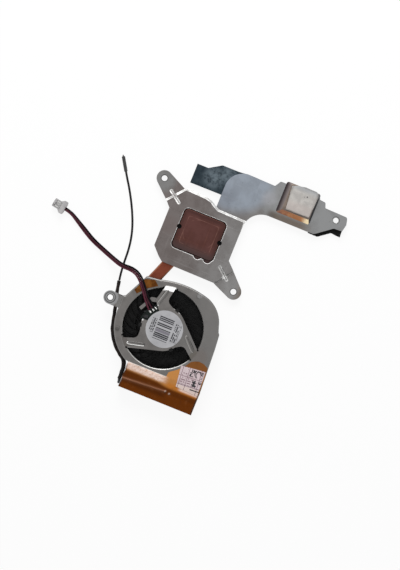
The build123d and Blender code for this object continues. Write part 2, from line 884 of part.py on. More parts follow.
def make_thermal_pad():
    """Soft grey pad on the block, laid a little askew."""
    low = low_top + block_height
    left, right = -block_width / 2 + 3.1, block_width / 2 - 0.5
    near, far = -block_depth / 2 + 2.9, block_depth / 2 + 0.5
    plan = Pos(block_x, block_y) * rounded(
        [
            (left + 0.9, near, 0.5),
            (right - 0.3, near + 0.2, 0.5),
            (right, near + 6.0, 0.5),
            (right - 0.4, far - 1.6, 1.0),
            (right - 2.0, far, 1.2),
            (right - 8.0, far - 0.2, 4.0),
            (left, far - 1.4, 0.5),
        ]
    )
    pad = prism(plan, low, low + pad_thickness)
    return fillet(pad.edges().group_by(Axis.Z)[-1], 0.2)


def make_insulating_film():
    """Thin stiff film glued under the lobe, standing out to its left."""
    high = low_bottom - glue_gap
    x = plate_right - 16.0
    y = plate_far + arm_rise + 1.0
    plan = rounded(
        [
            (x - 16.95, y, 0.6),
            (x + 17.1, y, 1.0),
            (x + 23.1, y + 6.1, 1.0),
            (x + 21.1, y + 13.3, 1.0),
            (x + 9.1, y + 14.6, 0),
            (x + 4.0, y + 14.1, 0),
            (x - 4.8, y + 14.1, 1.5),
            (x - 11.1, y + 10.2, 1.0),
            (x - 16.95, y + 10.2, 0.8),
        ]
    )
    return prism(plan, high - film_thickness, high)


def make_foam_pad():
    """Block of black foam under the arm's end, which stands on the table."""
    tip = plate_right + arm_reach
    inner = plate_far + arm_rise
    plan = rounded(
        [
            (tip - 16.4, inner - 0.3, 0),
            (tip - 11.3, inner - 0.4, 0.5),
            (tip - 5.5, inner + 3.9, 0.5),
            (tip - 0.6, inner + 3.5, 0.4),
            (tip - 0.7, inner + 7.3, 0),
            (tip - 1.5, inner + 12.5, 0),
            (tip - 14.4, inner + 12.3, 0),
        ]
    )
    return prism(plan, 0, low_bottom - glue_gap / 2) - Pos(*arm_hole()) * disc(arm_hole_radius + 0.5, -1, low_top)


# Tapes and labels


def tape_line(lift):
    """The line that the outlet tape follows from the cover down to the fins, lifted by an amount."""
    return [
        (-front + 12.7, casing_height + lift),
        (-front, casing_height + lift),
        (fins_back - 0.9, casing_height - 0.42 + lift),
        (fins_back - 4.0, fin_top + 0.72 + lift),
        (fins_back - 6.7, fin_top + lift),
        (fins_front, fin_top + lift),
    ]


def tape_sheet(lift, thickness, left, right):
    """A sheet along the outlet tape's line between two places across it."""
    below = tape_line(lift)
    above = tape_line(lift + thickness)
    points = [(left, y, z) for y, z in below] + [(left, y, z) for y, z in reversed(above)]
    return extrude(make_face(Polyline(*points, close=True)), right - left, dir=(1, 0, 0))


def make_outlet_tape():
    """Amber tape over the gap between the cover and the fins, folded down at the right."""
    right = outlet_right + tape_gap
    tape = tape_sheet(tape_gap, tape_thickness, outlet_left, right + tape_thickness)
    clear_left = outlet_left + 20.5
    on_cover = Box(
        clear_left - outlet_left + 2, front, casing_height * 2, align=(Align.MAX, Align.MIN, Align.CENTER)
    )
    tape -= Pos(clear_left, -front + 0.1, casing_height) * on_cover
    tape -= disc(inlet_radius + lip_radius + 0.5, 0, casing_height * 2)
    tape -= prism(Rectangle(4 * casing_radius, 4 * casing_radius) - trimmed_cover(), casing_height - 0.2, 2 * casing_height)
    skirt = Box(tape_thickness, fin_depth, 4.0, align=(Align.MIN, Align.MIN, Align.MAX))
    return tape + Pos(right, fins_front, fin_top + tape_gap + 0.1) * skirt


def trimmed_cover():
    """Plan of what the tape may cover: the casing's top inside its rounded edge, and the outlet."""
    return offset(casing_face(), -0.3) + Polygon(
        (outlet_left - 1, fins_front - 1),
        (outlet_right + 1, fins_front - 1),
        (outlet_right + 1, 0.5 - front),
        (outlet_left - 1, 0.5 - front),
    )


def make_inspection_label():
    """Square paper label over the tape, half on the cover and half on the slope."""
    lift = tape_gap + tape_thickness + 0.01
    sheet = tape_sheet(lift, paper_thickness, outlet_left, outlet_right)
    corner_x, corner_y = outlet_right, -front
    plan = Polygon(
        (corner_x - 13.7, corner_y + 7.9),
        (corner_x - 12.3, corner_y - 2.9),
        (corner_x - 0.7, corner_y - 3.5),
        (corner_x - 1.2, corner_y + 9.3),
    )
    return sheet & prism(plan, 0, 2 * casing_height)


lead_exit = (-(casing_radius - 5.4), casing_radius - 6.3)
wire_z = casing_height + tape_thickness + 2 * tape_gap + wire_diameter / 2
board_wire_z = board_top + wire_diameter / 2 + 0.1
wire_rows = [
    (-12.4, 9.9, board_wire_z + 0.12, 127.0),
    (-15.2, 13.7, wire_z, 127.0),
    (-17.44, 16.54, wire_z, 131.5),
    (*lead_exit, wire_z, 135.0),
]


def beside(row, across):
    """A point beside one of the wires' row points, square to the wires' heading there."""
    x, y, z, heading = row
    step_x, step_y = polar(across, heading - 90)
    return (x + step_x, y + step_y, z)


def make_motor_wires():
    """The three wires on the fan, from their pads over the hook and the inlet's edge to the rim."""
    wires = []
    for number, (pad_x, pad_y) in enumerate(pad_places):
        across = (number - 1) * wire_pitch
        points = [(pad_x - 0.9, pad_y + 0.5, board_wire_z - 0.1)]
        points += [beside(row, across) for row in wire_rows]
        wires.append(tube(points, wire_diameter, "motor wire"))
    return together(wires)


def make_lead_tape():
    """Small amber tape on the cover's rim, under the wires."""
    r = casing_radius
    plan = Polygon(
        (-r + 4.1, r - 11.9),
        (-r + 5.9, r - 13.2),
        (-r + 9.8, r - 8.9),
        (-r + 14.4, r - 5.8),
        (-r + 11.9, r - 3.6),
        (-r + 7.2, r - 4.9),
    )
    low = casing_height + tape_gap
    return prism(plan, low, low + tape_thickness)


# Cords


def corner_radii(points):
    """The radius at each corner of a cord's route, as large as its two runs allow."""
    radii = []
    for before, here, after in zip(points, points[1:], points[2:]):
        into = Vector(*here) - Vector(*before)
        out = Vector(*after) - Vector(*here)
        half_turn = radians(into.get_angle(out)) / 2
        radii.append(0.45 * min(into.length, out.length) / tan(half_turn))
    return radii


def tube(points, diameter, name):
    """A round cord along a route of straight runs and tangent arcs, with its measures printed."""
    radii = corner_radii(points)
    path = FilletPolyline(*points, radius=radii)
    section = Plane(origin=points[0], z_dir=Vector(*points[1]) - Vector(*points[0])) * Circle(diameter / 2)
    cord = sweep(section, path=path)
    expected = section.area * path.length
    listed = ", ".join(f"{radius:.1f}" for radius in radii)
    print(f"{name}: length {path.length:.1f}, volume {cord.volume:.2f} of {expected:.2f}, radii {listed}")
    return cord


lead_points = [
    (*lead_exit, wire_z),
    (-21.2, 20.3, 9.4),
    (-25.4, 21.5, 7.8),
    (-30.6, 21.2, 5.7),
    (-36.0, 22.7, 3.2),
    (-42.2, 24.8, 1.5),
    (-49.6, 27.5, 1.2),
    (-55.6, 31.0, 1.25),
    (-61.0, 34.2, 1.3),
    (-64.8, 36.4, 1.4),
    (-68.2, 37.0, 1.4),
]

sensor_points = [
    (-29.6, 13.9, 0.9),
    (-30.3, 17.9, 0.7),
    (-30.75, 23.5, 0.56),
    (-31.0, 29.5, 0.56),
    (-31.9, 35.5, 0.56),
    (-33.6, 41.5, 0.56),
    (-36.2, 47.6, 0.56),
    (-39.2, 53.4, 0.56),
    (-42.5, 59.0, 0.6),
    (-45.2, 63.0, 0.86),
    (-47.0, 65.9, 0.86),
]
end_sleeve_length = 7.6


def make_sensor_sleeve():
    """Thick sleeve on the sensor's cable, under the ear and along the casing's left side."""
    z = sleeve_diameter / 2 + 0.02
    reach = casing_radius + sleeve_diameter / 2 + 0.15
    points = [
        (*sensor_points[0][:2], sensor_points[0][2]),
        (-28.7, 8.6, z),
        (*polar(reach + 1.35, 176), z),
        (*polar(reach + 0.4, 190), z),
        (*polar(reach + 0.25, 203), z),
        (*polar(reach + 0.2, 216), z),
        (*polar(reach + 0.3, 229), z),
        (outlet_left - 2.6, -front - 2.3, z),
        (outlet_left - 1.3, fins_back - 4.6, z),
        (outlet_left - 1.1, fins_front + 2.6, z),
    ]
    return tube(points, sleeve_diameter, "sensor sleeve")


def make_sensor_bead():
    """Small dipped bead at the sensor's end, against the last fin."""
    z = sleeve_diameter / 2 + 0.02
    bead_body = Pos(outlet_left - 1.1, fins_front + 1.2, z) * Sphere(bead_diameter / 2)
    stem = Pos(outlet_left - 1.1, fins_front + 2.6, z) * Rot(90, 0, 0) * Cylinder(
        0.4, 1.2, align=(Align.CENTER, Align.CENTER, Align.MIN)
    )
    return bead_body + stem


def make_cable_end():
    """The cable's cut end in a slightly thicker sheath."""
    last = Vector(*sensor_points[-1])
    run = last - Vector(*sensor_points[-2])
    run = Vector(run.X, run.Y, 0).normalized()
    start = Plane(origin=last, z_dir=run)
    sheath = start * Cylinder(
        end_sleeve_diameter / 2, end_sleeve_length, align=(Align.CENTER, Align.CENTER, Align.MIN)
    )
    core = start.offset(end_sleeve_length) * Cylinder(0.3, 0.8, align=(Align.CENTER, Align.CENTER, Align.MIN))
    return sheath + core


# Plug


plug_length = 6.6
plug_body_width = 4.4
plug_wing_width = 6.9
plug_height = 2.8
contact_pitch = 1.25
contact_width = 0.7


def plug_place():
    """Where the plug lies: its origin at the rear face's middle on the table, its nose along +X."""
    last, before = Vector(*lead_points[-1]), Vector(*lead_points[-2])
    heading = degrees(atan2(last.Y - before.Y, last.X - before.X))
    return Pos(last.X, last.Y, 0) * Rot(0, 0, heading)


def plug_slots(width, length, low, high):
    """Three like blocks side by side over the plug's contacts."""
    base = (Align.MIN, Align.CENTER, Align.MIN)
    return [
        Pos(2.4, (number - 1) * contact_pitch, low) * Box(length, width, high - low, align=base)
        for number in range(3)
    ]


def make_plug_housing():
    """Ivory three-pole housing with two wings behind and a slot over each contact."""
    half_body = plug_body_width / 2
    half_wing = plug_wing_width / 2
    plan = rounded(
        [
            (0, -half_body + 0.1, 0.2),
            (0.4, -half_wing, 0.4),
            (1.7, -half_wing, 0.4),
            (3.3, -half_body, 0.4),
            (plug_length, -half_body, 0.4),
            (plug_length, half_body, 0.4),
            (3.3, half_body, 0.4),
            (1.7, half_wing, 0.4),
            (0.4, half_wing, 0.4),
            (0, half_body - 0.1, 0.2),
        ]
    )
    housing = prism(plan, 0.02, plug_height)
    step = Box(plug_length, plug_body_width, plug_height, align=(Align.MIN, Align.MIN, Align.MIN))
    housing -= Pos(3.6, 0.9, plug_height - 0.5) * step
    housing -= Pos(3.6, -0.9 - plug_body_width, plug_height - 0.5) * step
    for slot in plug_slots(contact_width + 0.1, 3.2, plug_height - 1.2, plug_height + 1):
        housing -= slot
    return plug_place() * housing


def make_plug_contacts():
    """Three tinned contacts, seen in the plug's slots."""
    blades = plug_slots(contact_width, 3.0, plug_height - 1.2, plug_height - 0.8)
    return plug_place() * together(blades)


nodes = {
    "fan_cover": make_fan_cover,
    "fan_base": make_fan_base,
    "impeller": make_impeller,
    "rotor_cup": make_rotor_cup,
    "magnet_ring": make_magnet_ring,
    "rotor_shaft": make_rotor_shaft,
    "shaft_retainer": make_shaft_retainer,
    "bearing_tube": make_bearing_tube,
    "bearing_bush": make_bearing_bush,
    "thrust_disc": make_thrust_disc,
    "stator_core": make_stator_core,
    "stator_coils": make_stator_coils,
    "motor_carrier": make_motor_carrier,
    "motor_board": make_motor_board,
    "solder_pads": make_solder_pads,
    "board_parts": make_board_parts,
    "motor_label": make_motor_label,
    "motor_wires": make_motor_wires,
    "lead_tape": make_lead_tape,
    "heat_pipe": make_heat_pipe,
    "fin_stack": make_fin_stack,
    "cold_plate": make_cold_plate,
    "bracket": make_bracket,
    "chipset_block": make_chipset_block,
    "thermal_pad": make_thermal_pad,
    "insulating_film": make_insulating_film,
    "foam_pad": make_foam_pad,
    "outlet_tape": make_outlet_tape,
    "inspection_label": make_inspection_label,
    "sensor_sleeve": make_sensor_sleeve,
    "sensor_bead": make_sensor_bead,
    "sensor_cable": lambda: tube(sensor_points, sensor_diameter, "sensor cable"),
    "cable_end": make_cable_end,
    "fan_lead": lambda: tube(lead_points, lead_diameter, "fan lead"),
    "plug_housing": make_plug_housing,
    "plug_contacts": make_plug_contacts,
}

os.makedirs("parts", exist_ok=True)
for name, make in nodes.items():
    export_step(make(), f"parts/{name}.step")
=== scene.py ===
"""Looks for the laptop cooling fan heatsink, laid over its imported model.

Lengths are in metres; mm() turns millimetres into them. The cooler lies on a table with its chip side up.
"""

from math import cos, exp, pi, radians, sin, sqrt

import bmesh
import bpy
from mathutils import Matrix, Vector, noise


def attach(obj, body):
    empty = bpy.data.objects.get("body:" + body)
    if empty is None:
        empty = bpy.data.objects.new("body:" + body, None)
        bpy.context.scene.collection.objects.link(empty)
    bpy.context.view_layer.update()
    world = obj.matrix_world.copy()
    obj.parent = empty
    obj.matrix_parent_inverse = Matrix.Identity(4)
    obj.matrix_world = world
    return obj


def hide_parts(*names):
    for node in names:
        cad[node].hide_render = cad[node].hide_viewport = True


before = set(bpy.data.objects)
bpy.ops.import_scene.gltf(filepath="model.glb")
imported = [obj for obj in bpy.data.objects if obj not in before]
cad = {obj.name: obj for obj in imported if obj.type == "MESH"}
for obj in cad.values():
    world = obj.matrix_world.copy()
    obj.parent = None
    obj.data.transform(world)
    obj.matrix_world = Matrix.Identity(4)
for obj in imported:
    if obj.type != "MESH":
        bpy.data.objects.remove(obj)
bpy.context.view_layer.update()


# Camera, table and light
# The cooler lies on a plain white table, and the camera looks straight down on it.
# A pale room lights it from all round, and one large soft lamp stands low beyond the bracket.

view_turn = radians(22)
view_middle = (9.0, 26.8)
camera_height = 0.5
subject_top = 0.0045
half_view = 0.1425
long_sensor_side = 0.036


def mm(*lengths):
    """Millimetres as a point in metres."""
    return Vector(length / 1000 for length in lengths)


def placed(name, data):
    """A new object at the origin that shows some data."""
    piece = bpy.data.objects.new(name, data)
    bpy.context.collection.objects.link(piece)
    return piece


camera = placed("camera", bpy.data.cameras.new("camera"))
camera.location = mm(*view_middle, 1000 * (camera_height + subject_top))
camera.rotation_euler = (0, 0, view_turn)
camera.data.lens = 1000 * long_sensor_side / 2 * camera_height / half_view
camera.data.clip_start = 0.01
bpy.context.scene.camera = camera
bpy.context.scene.view_settings.view_transform = "Standard"


def add_node(kind, feeds=(), tree=None, **settings):
    """Adds a node to a tree, or else to the tree of a socket that feeds it, and feeds and sets it."""
    feeds = dict(feeds)
    if tree is None:
        tree = next(value.id_data for value in feeds.values() if isinstance(value, bpy.types.NodeSocket))
    node = tree.nodes.new(kind)
    for name, value in settings.items():
        setattr(node, name, value)
    for key, value in feeds.items():
        if isinstance(value, bpy.types.NodeSocket):
            tree.links.new(value, node.inputs[key])
        else:
            node.inputs[key].default_value = value
    return node


def made(kind, feeds=(), tree=None, **settings):
    """The first output of a new node."""
    return add_node(kind, feeds, tree, **settings).outputs[0]


def maths(operation, *values, clamp=False):
    """The result of one sum on sockets or numbers."""
    return made("ShaderNodeMath", dict(enumerate(values)), operation=operation, use_clamp=clamp)


def product(first, *others):
    """Several shares multiplied."""
    for other in others:
        first = maths("MULTIPLY", first, other)
    return first


def largest(first, *others):
    """The largest of several shares."""
    for other in others:
        first = maths("MAXIMUM", first, other)
    return first


def seen_directly(tree):
    """1 for rays from the camera and for reflected or refracted ones, else 0."""
    rays = add_node("ShaderNodeLightPath", tree=tree).outputs
    return largest(rays["Is Camera Ray"], rays["Is Glossy Ray"], rays["Is Transmission Ray"])


white = (1, 1, 1, 1)
world = bpy.data.worlds.new("pale room")
world.use_nodes = True
room = world.node_tree
room.nodes.clear()
room_light = made("ShaderNodeBackground", {"Color": white, "Strength": 0.52}, room)
room_seen = made("ShaderNodeBackground", {"Color": white, "Strength": 1.0}, room)
room_mix = made("ShaderNodeMixShader", {0: seen_directly(room), 1: room_light, 2: room_seen})
add_node("ShaderNodeOutputWorld", {"Surface": room_mix})
bpy.context.scene.world = world


def new_material(name):
    """An empty node material and the place on the piece, in metres."""
    material = bpy.data.materials.new(name)
    material.use_nodes = True
    material.node_tree.nodes.clear()
    return material, add_node("ShaderNodeTexCoord", tree=material.node_tree).outputs["Object"]


table_white, point = new_material("table white")
tree = point.id_data
table_paint = made("ShaderNodeBsdfDiffuse", {"Color": (0.94, 0.94, 0.94, 1)}, tree)
table_glow = made("ShaderNodeEmission", {"Color": white, "Strength": 1.0}, tree)
glow_share = product(seen_directly(tree), 0.9)
table_mix = made("ShaderNodeMixShader", {0: glow_share, 1: table_paint, 2: table_glow})
add_node("ShaderNodeOutputMaterial", {"Surface": table_mix})


def mesh_piece(name, vertices, faces, materials, smooth=True, indices=None):
    """A mesh object at the origin from points and faces, with its materials."""
    mesh = bpy.data.meshes.new(name)
    mesh.from_pydata(vertices, [], faces)
    for material in materials:
        mesh.materials.append(material)
    mesh.polygons.foreach_set("use_smooth", [smooth] * len(mesh.polygons))
    if indices:
        mesh.polygons.foreach_set("material_index", indices)
    mesh.update()
    return placed(name, mesh)


table_half = 2.0
table_drop = 0.00005
corners = [(x * table_half, y * table_half, -table_drop) for x, y in ((-1, -1), (1, -1), (1, 1), (-1, 1))]
table = mesh_piece("table", corners, [(0, 1, 2, 3)], [table_white], smooth=False)

lamp_side = 0.62
lamp_height = 0.42
lamp_target = mm(*view_middle, 0)
lamp = placed("soft lamp", bpy.data.lights.new("soft lamp", "AREA"))
lamp.data.shape = "DISK"
lamp.data.size = 0.45
lamp.data.energy = 4.4
lamp.location = lamp_target + Vector((-sin(view_turn) * lamp_side, cos(view_turn) * lamp_side, lamp_height))
lamp.rotation_euler = (lamp_target - lamp.location).to_track_quat("-Z", "Y").to_euler()


# Fan lead
# Three thin wires in PVC jackets, black, dark brown and dark red, which run side by side over the cover's rim
# and the sensor cable to a small plug. They lie flat at the rim and close up towards the plug's three contacts.


def new_group(name, inputs, outputs):
    """An empty shader group, with its inputs' usual values (None for a place) and the names of its shares."""
    group = bpy.data.node_groups.new(name, "ShaderNodeTree")
    for socket, value in inputs.items():
        kind = "NodeSocketVector" if value is None else "NodeSocketFloat"
        added = group.interface.new_socket(socket, in_out="INPUT", socket_type=kind)
        if value is not None:
            added.default_value = value
    for socket in outputs:
        group.interface.new_socket(socket, in_out="OUTPUT", socket_type="NodeSocketFloat")
    return group, group.nodes.new("NodeGroupInput").outputs, group.nodes.new("NodeGroupOutput").inputs


def place_group(group, feeds, tree=None):
    """Places a shader group in a material and gives its outputs."""
    return add_node("ShaderNodeGroup", feeds, tree, node_tree=group).outputs


def mixed(share, low, high, blend="MIX"):
    """Two colours mixed by a share."""
    low, high = ((*tone, 1) if isinstance(tone, tuple) else tone for tone in (low, high))
    return add_node("ShaderNodeMix", {0: share, 6: low, 7: high}, data_type="RGBA", blend_type=blend).outputs[2]


def laid(colour, tone, *shares):
    """A tone laid over a colour by a share, or by several multiplied."""
    return mixed(product(*shares), colour, tone)


def ramp(value, low, high, start=0.0, end=1.0):
    """A value stretched from one range to another, without leaving it."""
    feeds = {0: value, 1: low, 2: high, 3: start, 4: end}
    return made("ShaderNodeMapRange", feeds, clamp=True, interpolation_type="SMOOTHSTEP")


def noise_value(point, scale, detail=2.0, roughness=0.5):
    """A soft random value over the surface, with so many waves per metre."""
    feeds = {"Vector": point, "Scale": scale, "Detail": detail, "Roughness": roughness}
    return made("ShaderNodeTexNoise", feeds)


def finish_material(colour, roughness, height, depth, specular=0.5, metallic=0.0):
    """Closes a material with one Principled shader, whose constants go straight on its sockets."""
    bump = made("ShaderNodeBump", {"Height": height, "Strength": 1.0, "Distance": depth})
    feeds = {"Base Color": colour, "Roughness": roughness, "Normal": bump}
    feeds |= {"Specular IOR Level": specular, "Metallic": metallic}
    add_node("ShaderNodeOutputMaterial", {"Surface": made("ShaderNodeBsdfPrincipled", feeds)})


def grain_group():
    """Fine moulded or rubbed grain, with slow changes of tone under it."""
    group, given, out = new_group("surface grain", {"Point": None, "Fine": 9000.0, "Slow": 350.0}, ["Height", "Tone"])
    group.links.new(noise_value(given["Point"], given["Fine"], 3.0), out["Height"])
    group.links.new(noise_value(given["Point"], given["Slow"], 4.0), out["Tone"])
    return group


surface_grain = grain_group()


def plain_plastic(name, dark, light, roughness, specular=0.5, fine=9000.0, depth=0.000006):
    """A plastic whose tone and gloss change a little over the surface."""
    material, point = new_material(name)
    grain = place_group(surface_grain, {"Point": point, "Fine": fine})
    tone = ramp(grain["Tone"], 0.3, 0.7)
    gloss = ramp(grain["Tone"], 0.3, 0.7, roughness - 0.06, roughness + 0.08)
    finish_material(mixed(tone, dark, light), gloss, grain["Height"], depth, specular)
    return material


jacket_red = plain_plastic("dark red jacket", (0.078, 0.018, 0.03), (0.112, 0.03, 0.046), 0.5, 0.06)
jacket_brown = plain_plastic("dark brown jacket", (0.04, 0.011, 0.017), (0.06, 0.018, 0.027), 0.5, 0.06)
jacket_black = plain_plastic("black jacket", (0.004, 0.004, 0.005), (0.009, 0.008, 0.008), 0.55, 0.04)
jackets = [jacket_red, jacket_brown, jacket_black]

wire_diameter = 0.9
wire_pitch = 0.92
lead_exit = (-19.0, 18.1, 9.66)
lead_points = [
    lead_exit,
    (-21.2, 20.3, 9.4),
    (-25.4, 21.5, 7.8),
    (-30.6, 21.2, 5.7),
    (-36.0, 22.7, 3.2),
    (-42.2, 24.8, 1.5),
    (-49.6, 27.5, 1.2),
    (-55.6, 31.0, 1.25),
    (-61.0, 34.2, 1.3),
    (-64.8, 36.4, 1.4),
    (-68.2, 37.0, 1.4),
]


def route_curve(name, points, bevel=0.0, fineness=14):
    """A cord's line: one open spline with the route's points as its control points."""
    data = bpy.data.curves.new(name, "CURVE")
    data.dimensions = "3D"
    data.resolution_u = fineness
    data.bevel_depth = bevel
    data.bevel_resolution = 4
    data.use_fill_caps = True
    spline = data.splines.new("NURBS")
    spline.points.add(len(points) - 1)
    for place, point in zip(spline.points, points):
        place.co = (*mm(*point), 1)
    spline.order_u = 3
    spline.use_endpoint_u = True
    return placed(name, data)


def plain_mesh(source):
    """The mesh that a curve, or an object with nodes, comes to."""
    bpy.context.view_layer.update()
    return bpy.data.meshes.new_from_object(source.evaluated_get(bpy.context.evaluated_depsgraph_get()))


def read_route(points, fineness=14):
    """The points that a cord's spline passes through."""
    curve = route_curve("route", points, fineness=fineness)
    mesh = plain_mesh(curve)
    line = [vertex.co.copy() for vertex in mesh.vertices]
    bpy.data.objects.remove(curve)
    bpy.data.meshes.remove(mesh)
    return line


def frames_along(line):
    """Each point of a line, with the direction to the right of its heading and the one up from it."""
    last = len(line) - 1
    for number, point in enumerate(line):
        heading = (line[min(number + 1, last)] - line[max(number - 1, 0)]).normalized()
        right = heading.cross(Vector((0, 0, 1))).normalized()
        yield point, right, right.cross(heading)


def shares_along(line):
    """How far along the line each point is, from 0 to 1."""
    run = [0.0]
    for before, here in zip(line, line[1:]):
        run.append(run[-1] + (here - before).length)
    return [length / run[-1] for length in run]


def shifted(line, side, lift):
    """A line beside another: side to its right and lift upwards, both functions of the share along it."""
    moved = []
    for (point, right, up), share in zip(frames_along(line), shares_along(line)):
        moved.append(point + right * side(share) / 1000 + up * lift(share) / 1000)
    return moved


def add_tube(vertices, faces, line, radius, sides=12):
    """Adds a round closed tube along a line to lists of points and faces."""
    start = len(vertices)
    for point, right, up in frames_along(line):
        for turn in range(sides):
            angle = 2 * pi * turn / sides
            vertices.append(point + (right * cos(angle) + up * sin(angle)) * radius)
    for row in range(len(line) - 1):
        for turn in range(sides):
            here, beside = start + row * sides + turn, start + row * sides + (turn + 1) % sides
            faces.append((here, beside, beside + sides, here + sides))
    end = start + (len(line) - 1) * sides
    faces.append(tuple(start + turn for turn in reversed(range(sides))))
    faces.append(tuple(end + turn for turn in range(sides)))


def smooth_step(value, low, high):
    """0 below low, 1 above high, and a soft step between."""
    share = min(max((value - low) / (high - low), 0.0), 1.0)
    return share * share * (3 - 2 * share)


def hump(value, low, full, still_full, high):
    """0 below low and above high, 1 between the two places in the middle, with soft steps between."""
    return smooth_step(value, low, full) * (1 - smooth_step(value, still_full, high))


def wire_bundle(name, lines, radius):
    """One piece of several wires, each with its own jacket."""
    vertices, faces, indices = [], [], []
    for number, line in enumerate(lines):
        before = len(faces)
        add_tube(vertices, faces, line, radius)
        indices += [number] * (len(faces) - before)
    return mesh_piece(name, vertices, faces, jackets, indices=indices)


def lead_side(number):
    """How far a wire of the lead runs beside its middle: a flat row that closes up towards the plug."""
    sign = number - 1

    def side(share):
        loose = wire_pitch - 0.14 * smooth_step(share, 0.08, 0.3)
        loose += 0.06 * sin(share * 9.0 + number) * smooth_step(share, 0.15, 0.3)
        return sign * (loose - 0.3 * smooth_step(share, 0.7, 0.95))

    return side


def lead_lift(number):
    """How far a wire rises over the lead's middle where they bundle up."""

    def lift(share):
        return (0.24 if number == 1 else -0.14) * hump(share, 0.08, 0.3, 0.8, 0.97)

    return lift


lead_line = read_route(lead_points)
lead_lines = [shifted(lead_line, lead_side(number), lead_lift(number)) for number in range(3)]
for line in lead_lines:
    for point in line:
        point.z = max(point.z, (wire_diameter / 2 + 0.02) / 1000)
fan_lead = wire_bundle("fan_lead_wires", lead_lines, wire_diameter / 2000)
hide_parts("fan_lead")
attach(fan_lead, "cooler")


# Sensor cable
# A thin black two-core cable from the temperature sensor at the fins. It leaves its sleeve beside the fan's ear,
# passes under the fan lead and ends cut off, with a short thicker sheath and a few bare strands.

sensor_diameter = 1.1
sensor_points = [
    (-29.6, 13.9, 0.9),
    (-30.3, 17.9, 0.7),
    (-30.75, 23.5, 0.56),
    (-31.0, 29.5, 0.56),
    (-31.9, 35.5, 0.56),
    (-33.6, 41.5, 0.56),
    (-36.2, 47.6, 0.56),
    (-39.2, 53.4, 0.56),
    (-42.5, 59.0, 0.6),
    (-45.2, 63.0, 0.86),
    (-47.0, 65.9, 0.86),
]
cable_black = plain_plastic("cable black", (0.007, 0.007, 0.008), (0.018, 0.017, 0.017), 0.5, 0.12)
sensor_cable = route_curve("sensor_cable_jacket", sensor_points, bevel=sensor_diameter / 2000)
sensor_cable.data.materials.append(cable_black)
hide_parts("sensor_cable")
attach(sensor_cable, "cooler")


def dress(node, material):
    """Puts a material on a CAD piece that keeps its shape."""
    if not cad[node].data.materials:
        cad[node].data.materials.append(None)
    for slot in cad[node].material_slots:
        slot.material = material


sheath_black = plain_plastic("sheath black", (0.008, 0.008, 0.008), (0.022, 0.021, 0.021), 0.5)
sleeve_black = plain_plastic("sleeve black", (0.006, 0.005, 0.005), (0.024, 0.017, 0.015), 0.55, 0.12, 2600.0, 0.00004)
resin_black = plain_plastic("dipped resin", (0.012, 0.011, 0.011), (0.03, 0.027, 0.026), 0.22)
dress("cable_end", sheath_black)


def swollen_tube(name, line, radius, swell, materials, sides=16):
    """A round closed piece along a line, whose radius grows by a function of the share along it and of the place."""
    vertices, faces = [], []
    add_tube(vertices, faces, line, radius, sides)
    for number, share in enumerate(shares_along(line)):
        for place in vertices[number * sides : (number + 1) * sides]:
            place -= line[number]
            place *= swell(share, (place + line[number]) * 1000)
            place += line[number]
    return mesh_piece(name, vertices, faces, materials)


def round_ends(share, run):
    """1 along a piece and falling to almost 0 in its last stretch at each end."""
    gap = min(share, 1 - share) / run
    return sqrt(max(1 - (1 - min(gap, 1.0)) ** 2, 0.002))


def sleeve_swell(share, place):
    """The sleeve is slack and uneven, and thicker beside the outlet."""
    slack = 1 + 0.09 * noise.noise(place * 0.55) + 0.05 * sin(share * 70)
    return slack * (0.86 + 0.2 * smooth_step(share, 0.25, 0.75)) * round_ends(share, 0.01)


sleeve_radius = 1.05
sleeve_points = [
    sensor_points[0],
    (-28.7, 8.6, 0.95),
    (-26.7, 1.8, 1.1),
    (-25.15, -4.4, 1.1),
    (-23.75, -10.2, 1.1),
    (-20.7, -15.3, 1.15),
    (-16.9, -19.4, 1.15),
    (-12.3, -22.4, 1.15),
    (-11.0, -26.6, 1.15),
    (-10.95, -32.6, 1.1),
]
sensor_sleeve = swollen_tube(
    "sensor_sleeve_tube", read_route(sleeve_points, fineness=22), sleeve_radius / 1000, sleeve_swell, [sleeve_black]
)
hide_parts("sensor_sleeve")
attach(sensor_sleeve, "cooler")

bead_radius = 0.68
bead_points = [(-10.95, -32.0, 0.95), (-10.85, -32.8, 0.9), (-10.75, -33.6, 0.85), (-10.75, -34.5, 0.8)]


def bead_swell(share, place):
    """A drop that grows from the cable and rounds off."""
    return (1.2 - 0.2 * smooth_step(share, 0.1, 0.6)) * round_ends(share, 0.22)


bead_line = read_route(bead_points, fineness=22)
sensor_bead = swollen_tube("sensor_bead_drop", bead_line, bead_radius / 1000, bead_swell, [resin_black])
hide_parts("sensor_bead")
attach(sensor_bead, "cooler")


# Plug
# A three-pole housing moulded in natural nylon, with a wing on each side and a tinned contact in each slot.

nylon = plain_plastic("natural nylon", (0.28, 0.27, 0.28), (0.46, 0.45, 0.45), 0.42, depth=0.00001)
dress("plug_housing", nylon)


# Fan cover and bracket metal
# Thin steel sheet with a satin grey plating. Handling leaves fine scratches and a cloudy tone. A painted highlight
# lies where the sheet is bent, and painted shade along its cut edges and in its recesses.


def marks_group():
    """Cloudy tone, fine scratches in two directions and small specks."""
    inputs = {"Point": None, "Cloud": 120.0, "Scratch": 900.0}
    group, given, out = new_group("handling marks", inputs, ["Tone", "Scratches", "Specks"])
    point = given["Point"]
    group.links.new(noise_value(point, given["Cloud"], 5.0, 0.62), out["Tone"])
    lines = []
    for angle, stretch in ((0.5, (1.0, 0.03, 1.0)), (-1.1, (0.04, 1.0, 1.0))):
        turned = made("ShaderNodeMapping", {"Vector": point, "Rotation": (0, 0, angle), "Scale": stretch})
        lines.append(ramp(noise_value(turned, given["Scratch"], 3.0, 0.6), 0.62, 0.74))
    group.links.new(largest(*lines), out["Scratches"])
    cells = made("ShaderNodeTexVoronoi", {"Vector": point, "Scale": 420.0}, feature="F1")
    group.links.new(ramp(cells, 0.16, 0.08), out["Specks"])
    return group


handling_marks = marks_group()


